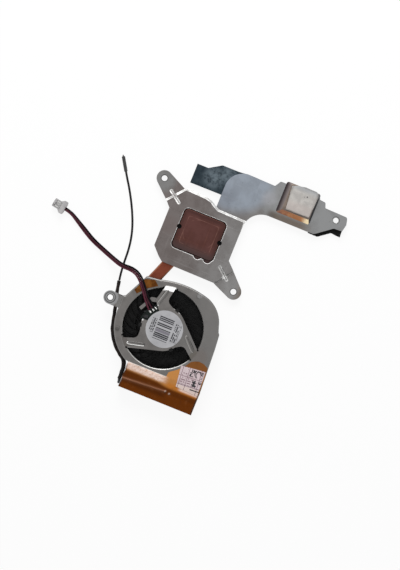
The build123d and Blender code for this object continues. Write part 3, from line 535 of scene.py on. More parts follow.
def vector_maths(operation, first, second=(0, 0, 0)):
    """The result of one sum on vectors, which is a number for a dot product, a distance or a length."""
    result = add_node("ShaderNodeVectorMath", {0: first, 1: second}, operation=operation).outputs
    return result["Value" if operation in ("DOT_PRODUCT", "DISTANCE", "LENGTH") else "Vector"]


def axes(vector):
    """A vector's parts along X, Y and Z."""
    return add_node("ShaderNodeSeparateXYZ", {0: vector}).outputs


def facing(tree):
    """How far the surface faces along X, Y and Z."""
    return axes(add_node("ShaderNodeTexCoord", tree=tree).outputs["Normal"])


def edge_and_bend_group():
    """Masks for painted shade and a painted highlight: where a hard edge lies, from the bevelled normal, and where the
    sheet is bent, from its tilt.
    """
    group, given, out = new_group("edge shade and bend highlight", {"Radius": 0.0002}, ["Edge", "Bend"])
    bevel = made("ShaderNodeBevel", {"Radius": given["Radius"]}, samples=6)
    flat = add_node("ShaderNodeNewGeometry", tree=group).outputs["True Normal"]
    agree = vector_maths("DOT_PRODUCT", bevel, flat)
    group.links.new(ramp(agree, 0.985, 0.8), out["Edge"])
    tilt = facing(group)[2]
    leaning = product(ramp(tilt, 0.985, 0.93), ramp(tilt, 0.3, 0.5))
    group.links.new(leaning, out["Bend"])
    return group


edge_shade_and_bend_highlight = edge_and_bend_group()


def new_metal(name, dark, light, bend, bend_share, edge_share, radius=0.00016):
    """A new metal with its place, its marks and a first colour: a painted highlight on bends and painted shade along
    cut edges.
    """
    material, point = new_material(name)
    marks = place_group(handling_marks, {"Point": point})
    edge_and_bend = place_group(edge_shade_and_bend_highlight, {"Radius": radius}, point.id_data)
    colour = mixed(ramp(marks["Tone"], 0.32, 0.68), dark, light)
    colour = laid(colour, bend, marks["Scratches"], 0.07)
    colour = laid(colour, (0.03, 0.03, 0.03), marks["Specks"], 0.08)
    # Painted shade along cut edges, then a painted highlight on bends.
    colour = laid(colour, (0.03, 0.028, 0.027), edge_and_bend["Edge"], edge_share)
    return material, point, marks, laid(colour, bend, edge_and_bend["Bend"], bend_share)


recess_reach = 0.0012


def close_metal(point, colour, marks, roughness, bends=None):
    """Ends a metal: painted shade in its recesses, grain and scratches in its gloss and height. Bends may be rougher.
    """
    shade = add_node("ShaderNodeAmbientOcclusion", {"Distance": recess_reach}, point.id_data, samples=8)
    # Painted shade: darker where ambient occlusion finds a recess.
    colour = laid(colour, (0.012, 0.011, 0.011), ramp(shade.outputs["AO"], 0.72, 0.2), 0.75)
    gloss = ramp(marks["Tone"], 0.3, 0.7, roughness - 0.05, roughness + 0.07)
    if bends is not None:
        gloss = maths("ADD", gloss, product(bends, 0.3))
    grain = place_group(surface_grain, {"Point": point, "Fine": 5200.0})["Height"]
    height = maths("SUBTRACT", grain, product(marks["Scratches"], 0.8))
    finish_material(colour, gloss, height, 0.000004, metallic=1.0)


def plated_metal(name, dark, light, bend, roughness, bend_share=0.8, edge_share=0.35):
    """A metal with a cloudy tone between two colours and a painted highlight in its own tone on bends."""
    material, point, marks, colour = new_metal(name, dark, light, bend, bend_share, edge_share)
    close_metal(point, colour, marks, roughness)
    return material


def near_spot(point, x, y, reach, soft):
    """1 within reach of an upright line through a place in millimetres, fading to 0 over a soft rim."""
    gap = vector_maths("DISTANCE", vector_maths("MULTIPLY", point, (1, 1, 0)), mm(x, y, 0))
    return ramp(gap, (reach + soft) / 1000, reach / 1000)


def height_ramp(point, low, high):
    """0 at one height in millimetres and 1 at another."""
    return ramp(axes(point)[2], low / 1000, high / 1000)


def ring_round(point, x, y, inner, outer, soft=0.08):
    """1 on a flat ring round an upright line."""
    inside = near_spot(point, x, y, inner, soft)
    return maths("SUBTRACT", near_spot(point, x, y, outer, soft), inside, clamp=True)


def spotted(point, colour, spots, *within):
    """Tones laid over a colour at spots: place, reach and soft rim in millimetres, share and tone."""
    for *spot, share, tone in spots:
        colour = laid(colour, tone, *within, near_spot(point, *spot), share)
    return colour


ear_place = (-30.1, 4.5)
glint_corners = [(-10.9, 0.3), (1.7, 11.4), (4.8, 10.3), (-6.6, 9.9)]
strut_notches = [(-17.5, -10.5), (-13.4, -15.4), (-7.1, 19.1), (-0.5, 20.4), (20.1, -3.7), (18.4, -9.4)]
cover_grey = [(0.132, 0.125, 0.12), (0.165, 0.156, 0.15), (0.34, 0.34, 0.33)]
cover_plating, point, marks, colour = new_metal("cover plating", *cover_grey, 0.3, 0.5, 0.00018)
along, across, _ = axes(point)
# Painted light: the cover grows lighter towards +X.
colour = laid(colour, (0.17, 0.166, 0.162), ramp(along, 0.004, 0.016, 0.0, 0.6))
cover_spots = [
    # Painted shade: a small dark square on the cover's left side.
    (-20.9, -8.8, 0.9, 0.4, 0.6, (0.07, 0.066, 0.063)),
    (*ear_place, 3.6, 1.0, 1.0, (0.26, 0.26, 0.262)),
]
colour = spotted(point, colour, cover_spots)
# Painted shade: dark rings round the ear's collar and its hole.
for inner, outer, grey in ((2.4, 2.8, 0.1), (1.3, 1.75, 0.05)):
    colour = laid(colour, (grey, grey, grey), ring_round(point, *ear_place, inner, outer))
cover_spots = [(11.0, 21.8, 1.0, 0.6, 0.45, (0.3, 0.3, 0.3))]
# Painted glints on the hub plate's corners.
cover_spots += [(*place, 0.2, 0.5, 0.8, (0.75, 0.75, 0.75)) for place in glint_corners]
colour = spotted(point, colour, cover_spots)
# Painted highlight on the inlet's rim, on its side towards the outlet.
inlet_rim_highlight = ring_round(point, 0.0, 0.0, 20.0, 20.4, 0.1)
toward_outlet = ramp(maths("SUBTRACT", across, product(along, 0.186)), -0.0132, -0.014)
colour = laid(colour, (0.6, 0.6, 0.58), inlet_rim_highlight, toward_outlet, 0.8)
# Painted highlight at the top strut's root and painted shade at the roots of the other two.
strut_ends = ring_round(point, 0.0, 0.0, 18.4, 20.8, 0.3)
end_spots = [
    (-3.8, 19.7, 2.8, 0.4, 0.75, (0.46, 0.46, 0.46)),
    (-15.0, -13.2, 2.6, 0.5, 0.6, (0.09, 0.076, 0.07)),
    (18.6, -7.0, 2.6, 0.5, 0.55, (0.1, 0.092, 0.072)),
]
colour = spotted(point, colour, end_spots, strut_ends)
cover_spots = [(22.0, -6.5, 2.0, 4.0, 0.5, (0.155, 0.132, 0.12))]
# Painted shade in the relief notches beside the struts' roots.
cover_spots += [(*place, 0.3, 0.35, 1.0, (0.006, 0.006, 0.006)) for place in strut_notches]
close_metal(point, spotted(point, colour, cover_spots), marks, 0.46)
dress("fan_cover", cover_plating)

base_grey = [(0.13, 0.124, 0.12), (0.19, 0.182, 0.178), (0.5, 0.5, 0.49)]
base_plating, point, marks, colour = new_metal("base plating", *base_grey, 0.7, 0.35)
# Painted shade on the floor inside the casing, below the impeller.
inside = near_spot(point, 0.0, 0.0, 23.6, 0.3)
colour = laid(colour, (0.028, 0.028, 0.028), inside, height_ramp(point, 0.3, 0.45))
close_metal(point, colour, marks, 0.46)
dress("fan_base", base_plating)

punch_marks = [(-11.65, 50.2), (10.15, 49.9)]


def punched(point, colour):
    """A colour painted dark, as shade, inside the two punch marks between the bracket and the cold plate."""
    marks = [(*place, 1.22, 0.06, 1.0, (0.006, 0.006, 0.006)) for place in punch_marks]
    return spotted(point, colour, marks, height_ramp(point, 3.6, 3.2))


screw_holes = [(-27.6, 69.9), (25.8, 29.9), (60.15, 82.5)]
dull_bends = [(16.2, 32.5), (20.5, 38.3)]
bright_bend = (0.8, 0.8, 0.79)
bracket_grey = [(0.15, 0.136, 0.132), (0.18, 0.171, 0.167), bright_bend]
bracket_plating, point, marks, colour = new_metal("bracket plating", *bracket_grey, 0.8, 0.0, 0.00018)
bracket_spots = [
    (24.5, 31.0, 3.0, 5.0, 1.0, (0.275, 0.275, 0.273)),
    (-16.5, 49.0, 2.0, 5.0, 1.0, (0.158, 0.132, 0.128)),
]
colour = spotted(point, colour, bracket_spots)
along, across, _ = axes(point)
# Painted light: darker and warmer towards -X, lighter towards +X.
colour = laid(colour, (0.136, 0.115, 0.11), ramp(along, 0.012, -0.012, 0.0, 0.7))
colour = laid(colour, (0.205, 0.2, 0.198), ramp(along, 0.0, 0.014, 0.0, 0.6))
# Painted reflection: lighter, cooler patches over the lobe and the arm's far part.
bracket_spots = [
    (44.0, 90.0, 24.0, 3.0, 1.0, (0.23, 0.233, 0.235)),
    (8.0, 84.0, 13.0, 7.0, 1.0, (0.242, 0.27, 0.31)),
    (4.0, 72.0, 2.0, 7.0, 0.7, (0.19, 0.21, 0.245)),
    (25.0, 80.0, 1.5, 4.0, 0.6, (0.31, 0.31, 0.33)),
]
colour = spotted(point, colour, bracket_spots)
# Painted shade, warmed by the copper block, along the arm's near edge beside the block.
arm_near = ramp(across, 0.0762, 0.0735)
arm_middle = product(ramp(along, 0.025, 0.031), ramp(along, 0.052, 0.044))
colour = laid(colour, (0.142, 0.112, 0.09), arm_near, arm_middle, 0.85)
bracket_spots = [
    # Painted shadow beside the block's near corner.
    (29.0, 72.3, 0.5, 3.0, 0.6, (0.1, 0.09, 0.083)),
    (-27.0, 69.0, 3.5, 4.0, 1.0, (0.176, 0.174, 0.172)),
]
# Painted shade: dark rings round the three screw holes.
bracket_spots += [(*place, 1.75, 0.25, 0.75, (0.04, 0.038, 0.037)) for place in screw_holes]
colour = spotted(point, colour, bracket_spots)
clouds = ramp(marks["Tone"], 0.56, 0.4, 0.0, 0.5)
colour = mixed(clouds, colour, (0.84, 0.83, 0.82), blend="MULTIPLY")
colour = laid(colour, bright_bend, marks["Scratches"], 0.025)
colour = laid(colour, (0.07, 0.07, 0.07), marks["Specks"], 0.22)
# Painted shade along the cut edges.
edge_and_bend = place_group(edge_shade_and_bend_highlight, {"Radius": 0.00022}, point.id_data)
colour = laid(colour, (0.035, 0.032, 0.03), edge_and_bend["Edge"], 0.55)
# Painted highlight on the bends, broken up by noise, brighter at the first ear and duller on the second ear's bends.
bend_spots = [(-21.5, 65.0, 4.0, 2.0, 1.0, (0.97, 0.97, 0.96))]
bend_spots += [(*place, 2.2, 0.5, 1.0, (0.24, 0.235, 0.23)) for place in dull_bends]
bend_shine = spotted(point, bright_bend, bend_spots)
highlight_breakup = ramp(noise_value(point, 330.0), 0.4, 0.6, 0.4, 1.0)
colour = laid(colour, bend_shine, edge_and_bend["Bend"], highlight_breakup, 0.9)
close_metal(point, punched(point, colour), marks, 0.44, edge_and_bend["Bend"])
dress("bracket", bracket_plating)


# Heat pipe, cold plate and chipset block
# Sintered copper pipe pressed flat, a milled copper plate set in the bracket's window, and a cast copper block.
# The copper has gone dull and brown, with the ring that a chip has left on the plate.

pipe_tones = [(0.15, 0.04, 0.022), (0.19, 0.053, 0.031), (0.5, 0.24, 0.13)]
dress("heat_pipe", plated_metal("pipe copper", *pipe_tones, 0.42, 0.35, 0.3))

block_tones = [(0.13, 0.105, 0.09), (0.2, 0.16, 0.135), (0.5, 0.4, 0.32)]
block_copper, point, marks, colour = new_metal("block copper", *block_tones, 0.1, 0.2, 0.0002)
toward_right, toward_far, toward_top = facing(point.id_data)
along = axes(point)[0]
leaning = ramp(toward_top, 0.1, 0.4)
# Painted light and shade by side: the left slope dark, the right side grey, the near slope bright orange with a
# highlight at its right end.
left_side_shade = mixed(ramp(along, 0.0306, 0.0325), (0.045, 0.035, 0.037), (0.2, 0.17, 0.165))
colour = laid(colour, left_side_shade, ramp(toward_right, -0.25, -0.5), leaning)
colour = laid(colour, (0.085, 0.085, 0.09), ramp(toward_right, 0.3, 0.6), leaning)
near_side_sheen = mixed(ramp(along, 0.031, 0.041), (0.24, 0.105, 0.075), (0.38, 0.17, 0.08))
patches = ramp(noise_value(point, 260.0, 3.0), 0.45, 0.7, 0.0, 0.7)
near_side_sheen = laid(near_side_sheen, (0.5, 0.25, 0.12), patches)
near_side_sheen = laid(near_side_sheen, (0.95, 0.78, 0.5), ramp(along, 0.0435, 0.0468))
colour = laid(colour, near_side_sheen, ramp(toward_far, -0.35, -0.6), leaning)
close_metal(point, colour, marks, 0.4)
dress("chipset_block", block_copper)

plate_x, plate_y = -0.9, 49.9
step_half_width, step_half_depth = 8.3, 7.4


def line_at(value, place, width):
    """1 on a thin line where a value passes a place, else 0."""
    gap = maths("ABSOLUTE", maths("SUBTRACT", value, place))
    return ramp(gap, width, 0.0)


plate_tones = [(0.075, 0.031, 0.026), (0.096, 0.042, 0.037), (0.4, 0.17, 0.1)]
plate_copper, point, marks, colour = new_metal("plate copper", *plate_tones, 0.4, 0.2, 0.0002)
from_middle = vector_maths("SUBTRACT", point, mm(plate_x, plate_y, 0))
scaled = vector_maths("MULTIPLY", from_middle, (1000 / step_half_width, 1000 / step_half_depth, 0))
across, deep, _ = axes(vector_maths("ABSOLUTE", scaled))
step_share = maths("SMOOTH_MAX", across, deep, 0.25)
uneven = noise_value(point, 180.0, 3.0)
# Painted shade: darker outside the pedestal towards the window's rim, and towards -Y.
colour = laid(colour, (0.05, 0.024, 0.022), ramp(step_share, 0.98, 1.3), 0.75)
colour = laid(colour, (0.066, 0.048, 0.047), ramp(axes(scaled)[1], -0.6, -1.3), 0.6)
step_line = product(line_at(step_share, 0.97, 0.035), ramp(uneven, 0.42, 0.6))
reach = vector_maths("LENGTH", scaled)
chip_ring = product(line_at(reach, 0.98, 0.03), ramp(uneven, 0.5, 0.62))
colour = laid(colour, (0.3, 0.16, 0.13), largest(step_line, chip_ring), 0.3)
close_metal(point, punched(point, colour), marks, 0.5)
dress("cold_plate", plate_copper)


# Impeller and motor
# A black moulded impeller on a drawn steel cup. The motor stands under the hub plate on a black carrier, with a
# small green board whose chip and solder pads show. The plug's contacts and the fins are dressed here as well.

moulded = {
    "impeller": ("impeller black", (0.003, 0.003, 0.0033), (0.008, 0.008, 0.008), 0.6, 0.06),
    "motor_carrier": ("carrier black", (0.003, 0.003, 0.003), (0.008, 0.008, 0.008), 0.5, 0.15),
    "motor_board": ("board lacquer", (0.003, 0.006, 0.005), (0.006, 0.011, 0.009), 0.4, 0.15),
    "board_parts": ("chip moulding", (0.012, 0.012, 0.013), (0.03, 0.03, 0.032), 0.5, 0.2),
    "magnet_ring": ("bonded ferrite", (0.03, 0.028, 0.027), (0.06, 0.056, 0.052), 0.6),
    "shaft_retainer": ("retainer nylon", (0.55, 0.54, 0.5), (0.7, 0.69, 0.65), 0.4),
    "thrust_disc": ("disc nylon", (0.55, 0.54, 0.5), (0.7, 0.69, 0.65), 0.4),
}
machined = {
    "rotor_cup": ("drawn steel", (0.3, 0.3, 0.31), (0.42, 0.42, 0.43), (0.7, 0.7, 0.7), 0.3),
    "rotor_shaft": ("ground steel", (0.5, 0.5, 0.51), (0.62, 0.62, 0.63), (0.75, 0.75, 0.75), 0.22),
    "stator_core": ("lamination steel", (0.2, 0.2, 0.21), (0.32, 0.32, 0.33), (0.5, 0.5, 0.5), 0.4),
    "bearing_tube": ("turned brass", (0.5, 0.34, 0.13), (0.62, 0.44, 0.2), (0.8, 0.62, 0.3), 0.3),
    "bearing_bush": ("oiled bronze", (0.22, 0.13, 0.06), (0.32, 0.2, 0.1), (0.5, 0.34, 0.18), 0.4),
    "stator_coils": ("coil copper", (0.35, 0.12, 0.04), (0.5, 0.19, 0.07), (0.7, 0.35, 0.16), 0.32),
    "fin_stack": ("fin aluminium", (0.42, 0.42, 0.43), (0.58, 0.58, 0.59), (0.75, 0.75, 0.75), 0.35),
}
for node, looks in moulded.items():
    dress(node, plain_plastic(*looks))
for node, looks in machined.items():
    dress(node, plated_metal(*looks))
solder_tin = plated_metal("solder tin", (0.5, 0.5, 0.49), (0.78, 0.78, 0.76), (0.95, 0.95, 0.93), 0.2)
dress("solder_pads", solder_tin)
dress("plug_contacts", solder_tin)


# Motor wires
# The same three wires where the fan holds them: from their solder joints, over the wire hook and the inlet's
# edge to the cover's rim. Each ends in a short twist of bare tinned strands.

board_wire_z = 10.0
wire_z = 9.66
pad_places = [(-8.8, 5.3), (-7.8, 6.7), (-6.9, 8.0)]
wire_rows = [
    (-12.4, 9.9, board_wire_z + 0.12, 127.0),
    (-15.2, 13.7, wire_z, 127.0),
    (-17.44, 16.54, wire_z, 131.5),
    (lead_exit[0], lead_exit[1], wire_z, 135.0),
]


def wire_route(number):
    """One held wire's points, from its pad to the lead."""
    pad_x, pad_y = pad_places[number]
    points = [(pad_x - 0.9, pad_y + 0.5, board_wire_z - 0.1)]
    across = (number - 1) * wire_pitch
    for x, y, z, heading in wire_rows:
        turn = radians(heading - 90)
        points.append((x + across * cos(turn), y + across * sin(turn), z))
    return points


held_lines = [read_route(wire_route(number)) for number in range(3)]
motor_wires = wire_bundle("motor_wire_jackets", held_lines, wire_diameter / 2000)
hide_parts("motor_wires")
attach(motor_wires, "cooler")


def new_nodes(name, sizes):
    """An empty Geometry Nodes tree that takes a geometry, named sizes and a material, and what it is given."""
    tree = bpy.data.node_groups.new(name, "GeometryNodeTree")
    face = tree.interface
    face.new_socket("Geometry", in_out="INPUT", socket_type="NodeSocketGeometry")
    for size, value in sizes.items():
        kind = "NodeSocketInt" if isinstance(value, int) else "NodeSocketFloat"
        face.new_socket(size, in_out="INPUT", socket_type=kind).default_value = value
    face.new_socket("Material", in_out="INPUT", socket_type="NodeSocketMaterial")
    face.new_socket("Geometry", in_out="OUTPUT", socket_type="NodeSocketGeometry")
    return tree, tree.nodes.new("NodeGroupInput").outputs


def close_nodes(tree, given, geometry):
    """Ends a tree: real meshes in the given material."""
    real = made("GeometryNodeRealizeInstances", {"Geometry": geometry})
    coloured = made("GeometryNodeSetMaterial", {"Geometry": real, "Material": given["Material"]})
    tree.links.new(coloured, tree.nodes.new("NodeGroupOutput").inputs[0])
    return tree


def strands_tree():
    """Geometry Nodes that lay a twisted bundle of bare strands along each edge of a mesh."""
    sizes = {"Strand Radius": 0.00007, "Bundle Radius": 0.00017, "Twist": 6.0, "Strands": 7}
    tree, given = new_nodes("bare strands", sizes)
    path = made("GeometryNodeMeshToCurve", {"Mesh": given["Geometry"]})
    cut = made("GeometryNodeResampleCurve", {"Curve": path, "Count": 10})
    along = add_node("GeometryNodeSplineParameter", tree=tree).outputs["Factor"]
    tilted = made("GeometryNodeSetCurveTilt", {"Curve": cut, "Tilt": product(along, given["Twist"])})
    ring = {"Resolution": given["Strands"], "Radius": given["Bundle Radius"]}
    places = made("GeometryNodeCurvePrimitiveCircle", ring)
    strand = made("GeometryNodeCurvePrimitiveCircle", {"Resolution": 8, "Radius": given["Strand Radius"]})
    laid_round = made("GeometryNodeInstanceOnPoints", {"Points": places, "Instance": strand})
    profile = made("GeometryNodeRealizeInstances", {"Geometry": laid_round})
    feeds = {"Curve": tilted, "Profile Curve": profile, "Fill Caps": True}
    return close_nodes(tree, given, made("GeometryNodeCurveToMesh", feeds))


def grown_by_nodes(name, source, tree, material):
    """Runs a Geometry Nodes tree on a source mesh and returns its result as a plain piece."""
    modifier = source.modifiers.new("nodes", "NODES")
    modifier.node_group = tree
    sockets = {item.name: item.identifier for item in tree.interface.items_tree if item.in_out == "INPUT"}
    modifier[sockets["Material"]] = material
    mesh = plain_mesh(source)
    mesh.name = name
    source.modifiers.clear()
    bpy.data.objects.remove(source)
    return placed(name, mesh)


bare_strands = strands_tree()


def edge_source(name, pairs):
    """A mesh of loose edges for Geometry Nodes to work on."""
    mesh = bpy.data.meshes.new(name)
    points = [point for pair in pairs for point in pair]
    mesh.from_pydata(points, [(2 * i, 2 * i + 1) for i in range(len(pairs))], [])
    return placed(name, mesh)


joint_z = 9.78
joints = []
for line, (pad_x, pad_y) in zip(held_lines, pad_places):
    joints.append((line[0] + mm(-0.1, 0.05, 0), mm(pad_x, pad_y, joint_z)))
wire_tips = grown_by_nodes("wire_tips", edge_source("tips", joints), bare_strands, solder_tin)
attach(wire_tips, "cooler")

cable_heading = (mm(*sensor_points[-1]) - mm(*sensor_points[-2])) * Vector((1, 1, 0))
cable_heading.normalize()
sheath_tip = mm(*sensor_points[-1]) + cable_heading * 0.0076
cores = [(sheath_tip - cable_heading * 0.0002, sheath_tip + cable_heading * 0.0009)]
cable_strands = grown_by_nodes("cable_strands", edge_source("cores", cores), bare_strands, solder_tin)
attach(cable_strands, "cooler")


# Strut ribs
# A long shallow rib pressed into each of the cover's three struts to stiffen it. The left rib's bent sides carry a
# painted highlight, and all three ribs' sides facing right and away carry painted shade.

rib_inner = (-5.0, -10.8)
rib_outer = (-14.1, -13.1)
rib_half_width = 1.0
rib_rise = 0.3
hub_top = 10.0


def rib_mesh():
    """One rib: a low rounded ridge with tapered ends, set a little into the strut."""
    start, end = mm(*rib_inner, hub_top), mm(*rib_outer, hub_top)
    run = end - start
    side = Vector((-run.y, run.x, 0)).normalized()
    rows, columns = 28, 9
    vertices, faces = [], []
    for row in range(rows + 1):
        share = row / rows
        taper = sqrt(max(1 - (2 * share - 1) ** 6, 0.0))
        for column in range(columns):
            across = 2 * column / (columns - 1) - 1
            rise = rib_rise * taper * (1 - across * across) ** 0.8 - 0.03
            place = start + run * share + side * (across * rib_half_width * max(taper, 0.02) / 1000)
            vertices.append(place + Vector((0, 0, rise / 1000)))
    for row in range(rows):
        for column in range(columns - 1):
            here = row * columns + column
            faces.append((here, here + columns, here + columns + 1, here + 1))
    source = mesh_piece("rib", vertices, faces, [])
    floor = source.modifiers.new("wall", "SOLIDIFY")
    floor.thickness = 0.0001
    floor.offset = -1
    return source


def around_tree():
    """Geometry Nodes that repeat a piece round the fan's axis."""
    tree, given = new_nodes("round the fan", {"Count": 3})
    line = {"Count": given["Count"], "Start Location": (0, 0, 0), "Offset": (0, 0, 0)}
    places = made("GeometryNodeMeshLine", line, mode="OFFSET")
    turn = maths("DIVIDE", made("GeometryNodeInputIndex", tree=tree), given["Count"])
    angle = made("ShaderNodeCombineXYZ", {"Z": product(turn, 2 * pi)})
    feeds = {"Points": places, "Instance": given["Geometry"], "Rotation": angle}
    return close_nodes(tree, given, made("GeometryNodeInstanceOnPoints", feeds))


rib_grey = [(0.15, 0.143, 0.138), (0.19, 0.182, 0.176), (0.42, 0.41, 0.39)]
rib_plating, point, marks, colour = new_metal("rib plating", *rib_grey, 0.7, 0.0)
# Painted highlight on the left rib's bent sides, and painted shade on the sides that face right and away.
on_left = near_spot(point, -10.0, -12.0, 6.0, 1.0)
painted_sheen = place_group(edge_shade_and_bend_highlight, {"Radius": 0.00016}, point.id_data)["Bend"]
colour = laid(colour, (0.97, 0.97, 0.95), on_left, painted_sheen, 0.9)
toward_right, toward_far, _ = facing(point.id_data)
shaded = ramp(maths("ADD", toward_right, toward_far), 0.0, 0.12)
colour = laid(colour, (0.055, 0.052, 0.05), shaded, ramp(on_left, 0.0, 1.0, 0.65, 0.97))
close_metal(point, colour, marks, 0.38)
strut_ribs = grown_by_nodes("strut_ribs", rib_mesh(), around_tree(), rib_plating)
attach(strut_ribs, "cooler")


# Outlet tape
# Amber polyimide film that closes the gap between the fan's outlet and the fins. It is dark brown where it
# touches the fins and creased along the fins' back edge. Where it stands off the metal it carries a painted pale
# milky highlight; it also has a painted amber highlight, painted highlights on the crease, knots and cover edge,
# and painted shade at its side edges.

outlet_left, outlet_right = -10.0, 29.0
outlet_edge = -21.5
fins_end = -35.0
tape_lift = 0.05
film_thickness = 0.06
tape_profile = [(-8.8, 9.0), (-21.5, 9.0), (-23.7, 8.58), (-26.8, 7.92), (-29.5, 7.2), (-35.5, 7.2)]


def tape_height(y):
    """How high the surface under the tape is, in millimetres."""
    for (y_a, z_a), (y_b, z_b) in zip(tape_profile, tape_profile[1:]):
        if y >= y_b:
            return z_a + (z_b - z_a) * min(max((y_a - y) / (y_a - y_b), 0.0), 1.0)
    return tape_profile[-1][1]


def ridge(x, y, start, end, width):
    """1 on the line between two places, falling off over a width to each side."""
    run = Vector(end) - Vector(start)
    share = min(max((Vector((x, y)) - Vector(start)).dot(run) / run.length_squared, 0.0), 1.0)
    gap = (Vector((x, y)) - Vector(start) - run * share).length
    return exp(-((gap / width) ** 2))


crease_ends = ((-10.2, -30.2), (12.4, -28.7))
crease_knots = [(12.7, -28.6), (15.0, -29.1)]


def wave(x, y, z):
    """A soft random value of about -1 to 1 at a place."""
    return noise.noise(Vector((x, y, z)))


def wrinkles(x, y):
    """How far the tape stands off, in millimetres: ripples behind the cover, a crease, and two small knots."""
    ripple = wave(x * 0.9, y * 1.6, 3.1) * 0.16 + wave(x * 2.6, y * 3.0, 7.7) * 0.07
    rise = hump(-y, 21.6, 22.4, 24.4, 27.0) * (1 - smooth_step(x, 8.0, 15.0)) * (0.18 + ripple)
    rise += 0.1 * hump(-y, 24.0, 27.0, 28.0, 29.8) * (1 + wave(x * 0.3, y * 0.3, 1.0))
    rise += 0.3 * ridge(x, y, *crease_ends, 0.34)
    rise += 0.42 * sum(exp(-(((x - a) ** 2 + (y - b) ** 2) / 0.16)) for a, b in crease_knots)
    rise += 0.02 * wave(x * 0.7, y * 0.7, 5.0) * smooth_step(-y, 26.0, 29.0)
    return max(rise, 0.0)


def slab(name, outline, low, high, spacing, shape, materials, rounding=0.0):
    """A thin closed piece of an outline in millimetres, cut into a net of faces and then shaped point by point."""
    work = bmesh.new()
    base = work.faces.new([work.verts.new(mm(x, y, low)) for x, y in outline])
    base.normal_update()
    if base.normal.z > 0:
        base.normal_flip()
    grown = bmesh.ops.extrude_face_region(work, geom=[base])["geom"]
    top_points = [item for item in grown if isinstance(item, bmesh.types.BMVert)]
    bmesh.ops.translate(work, verts=top_points, vec=mm(0, 0, high - low))
    if rounding:
        top_z = high / 1000 - 1e-7
        top_edges = [edge for edge in work.edges if all(vertex.co.z > top_z for vertex in edge.verts)]
        bmesh.ops.bevel(work, geom=top_edges, offset=rounding / 1000, segments=3, profile=0.5, affect="EDGES")
    for axis in range(2):
        places = [point[axis] for point in outline]
        count = int((max(places) - min(places)) / spacing)
        for number in range(1, count + 1):
            cut = Vector((0, 0, 0))
            cut[axis] = (min(places) + number * spacing) / 1000
            normal = Vector((1, 0, 0)) if axis == 0 else Vector((0, 1, 0))
            parts = list(work.verts) + list(work.edges) + list(work.faces)
            bmesh.ops.bisect_plane(work, geom=parts, dist=1e-7, plane_co=cut, plane_no=normal)
    for vertex in work.verts:
        x, y, z = vertex.co * 1000
        share = (z - low) / (high - low)
        vertex.co = mm(*shape(x, y, z, share))
    bmesh.ops.triangulate(work, faces=[face for face in work.faces if len(face.verts) > 4])
    bmesh.ops.recalc_face_normals(work, faces=work.faces)
    mesh = bpy.data.meshes.new(name)
    work.to_mesh(mesh)
    work.free()
    for material in materials:
        mesh.materials.append(material)
    mesh.polygons.foreach_set("use_smooth", [True] * len(mesh.polygons))
    mesh.set_sharp_from_angle(angle=radians(50))
    return placed(name, mesh)


def tape_outline():
    """The tape's plan: over the fins its whole width, and on the cover only right of the inlet."""
    points = [(outlet_left, fins_end), (outlet_right + 0.1, fins_end), (outlet_right - 0.05, outlet_edge)]
    points += [(28.1, -10.2), (25.5, -8.9), (22.8, -8.6), (20.6, -9.4)]
    for number in range(11):
        y = -10.4 - number
        points.append((max(10.6, sqrt(21.7**2 - y * y)), y))
    points += [(10.4, outlet_edge), (6.0, outlet_edge), (0.0, outlet_edge), (-6.0, outlet_edge), (-9.6, outlet_edge)]
    points += [(-9.9, -24.0), (-9.5, -26.0), (-10.1, -28.5), (-9.7, -31.0)]
    return points


def laid_tape(x, y, z, share):
    """A point of the tape laid on the surface under it."""
    return x, y, tape_height(y) + tape_lift + wrinkles(x, y) + share * film_thickness


# Painted highlights: the milky, amber, edge, crease and knot tones. Painted shade: the two edge shades.
milky_highlight = (0.97, 0.76, 0.67)
amber_highlight = (0.56, 0.18, 0.02)
clear_amber = (0.57, 0.25, 0.07)
brown = (0.124, 0.028, 0.0005)
dark_brown = (0.06, 0.013, 0.0)
tongue_brown = (0.22, 0.082, 0.022)
edge_highlight = (0.97, 0.93, 0.88)
left_edge_shade = (0.06, 0.026, 0.012)
fold_brown = (0.2, 0.068, 0.01)
right_edge_shade = (0.05, 0.03, 0.02)
crease_sheen = (0.23, 0.095, 0.045)
crease_highlight = (0.42, 0.2, 0.12)
knot_shine = (0.85, 0.7, 0.6)


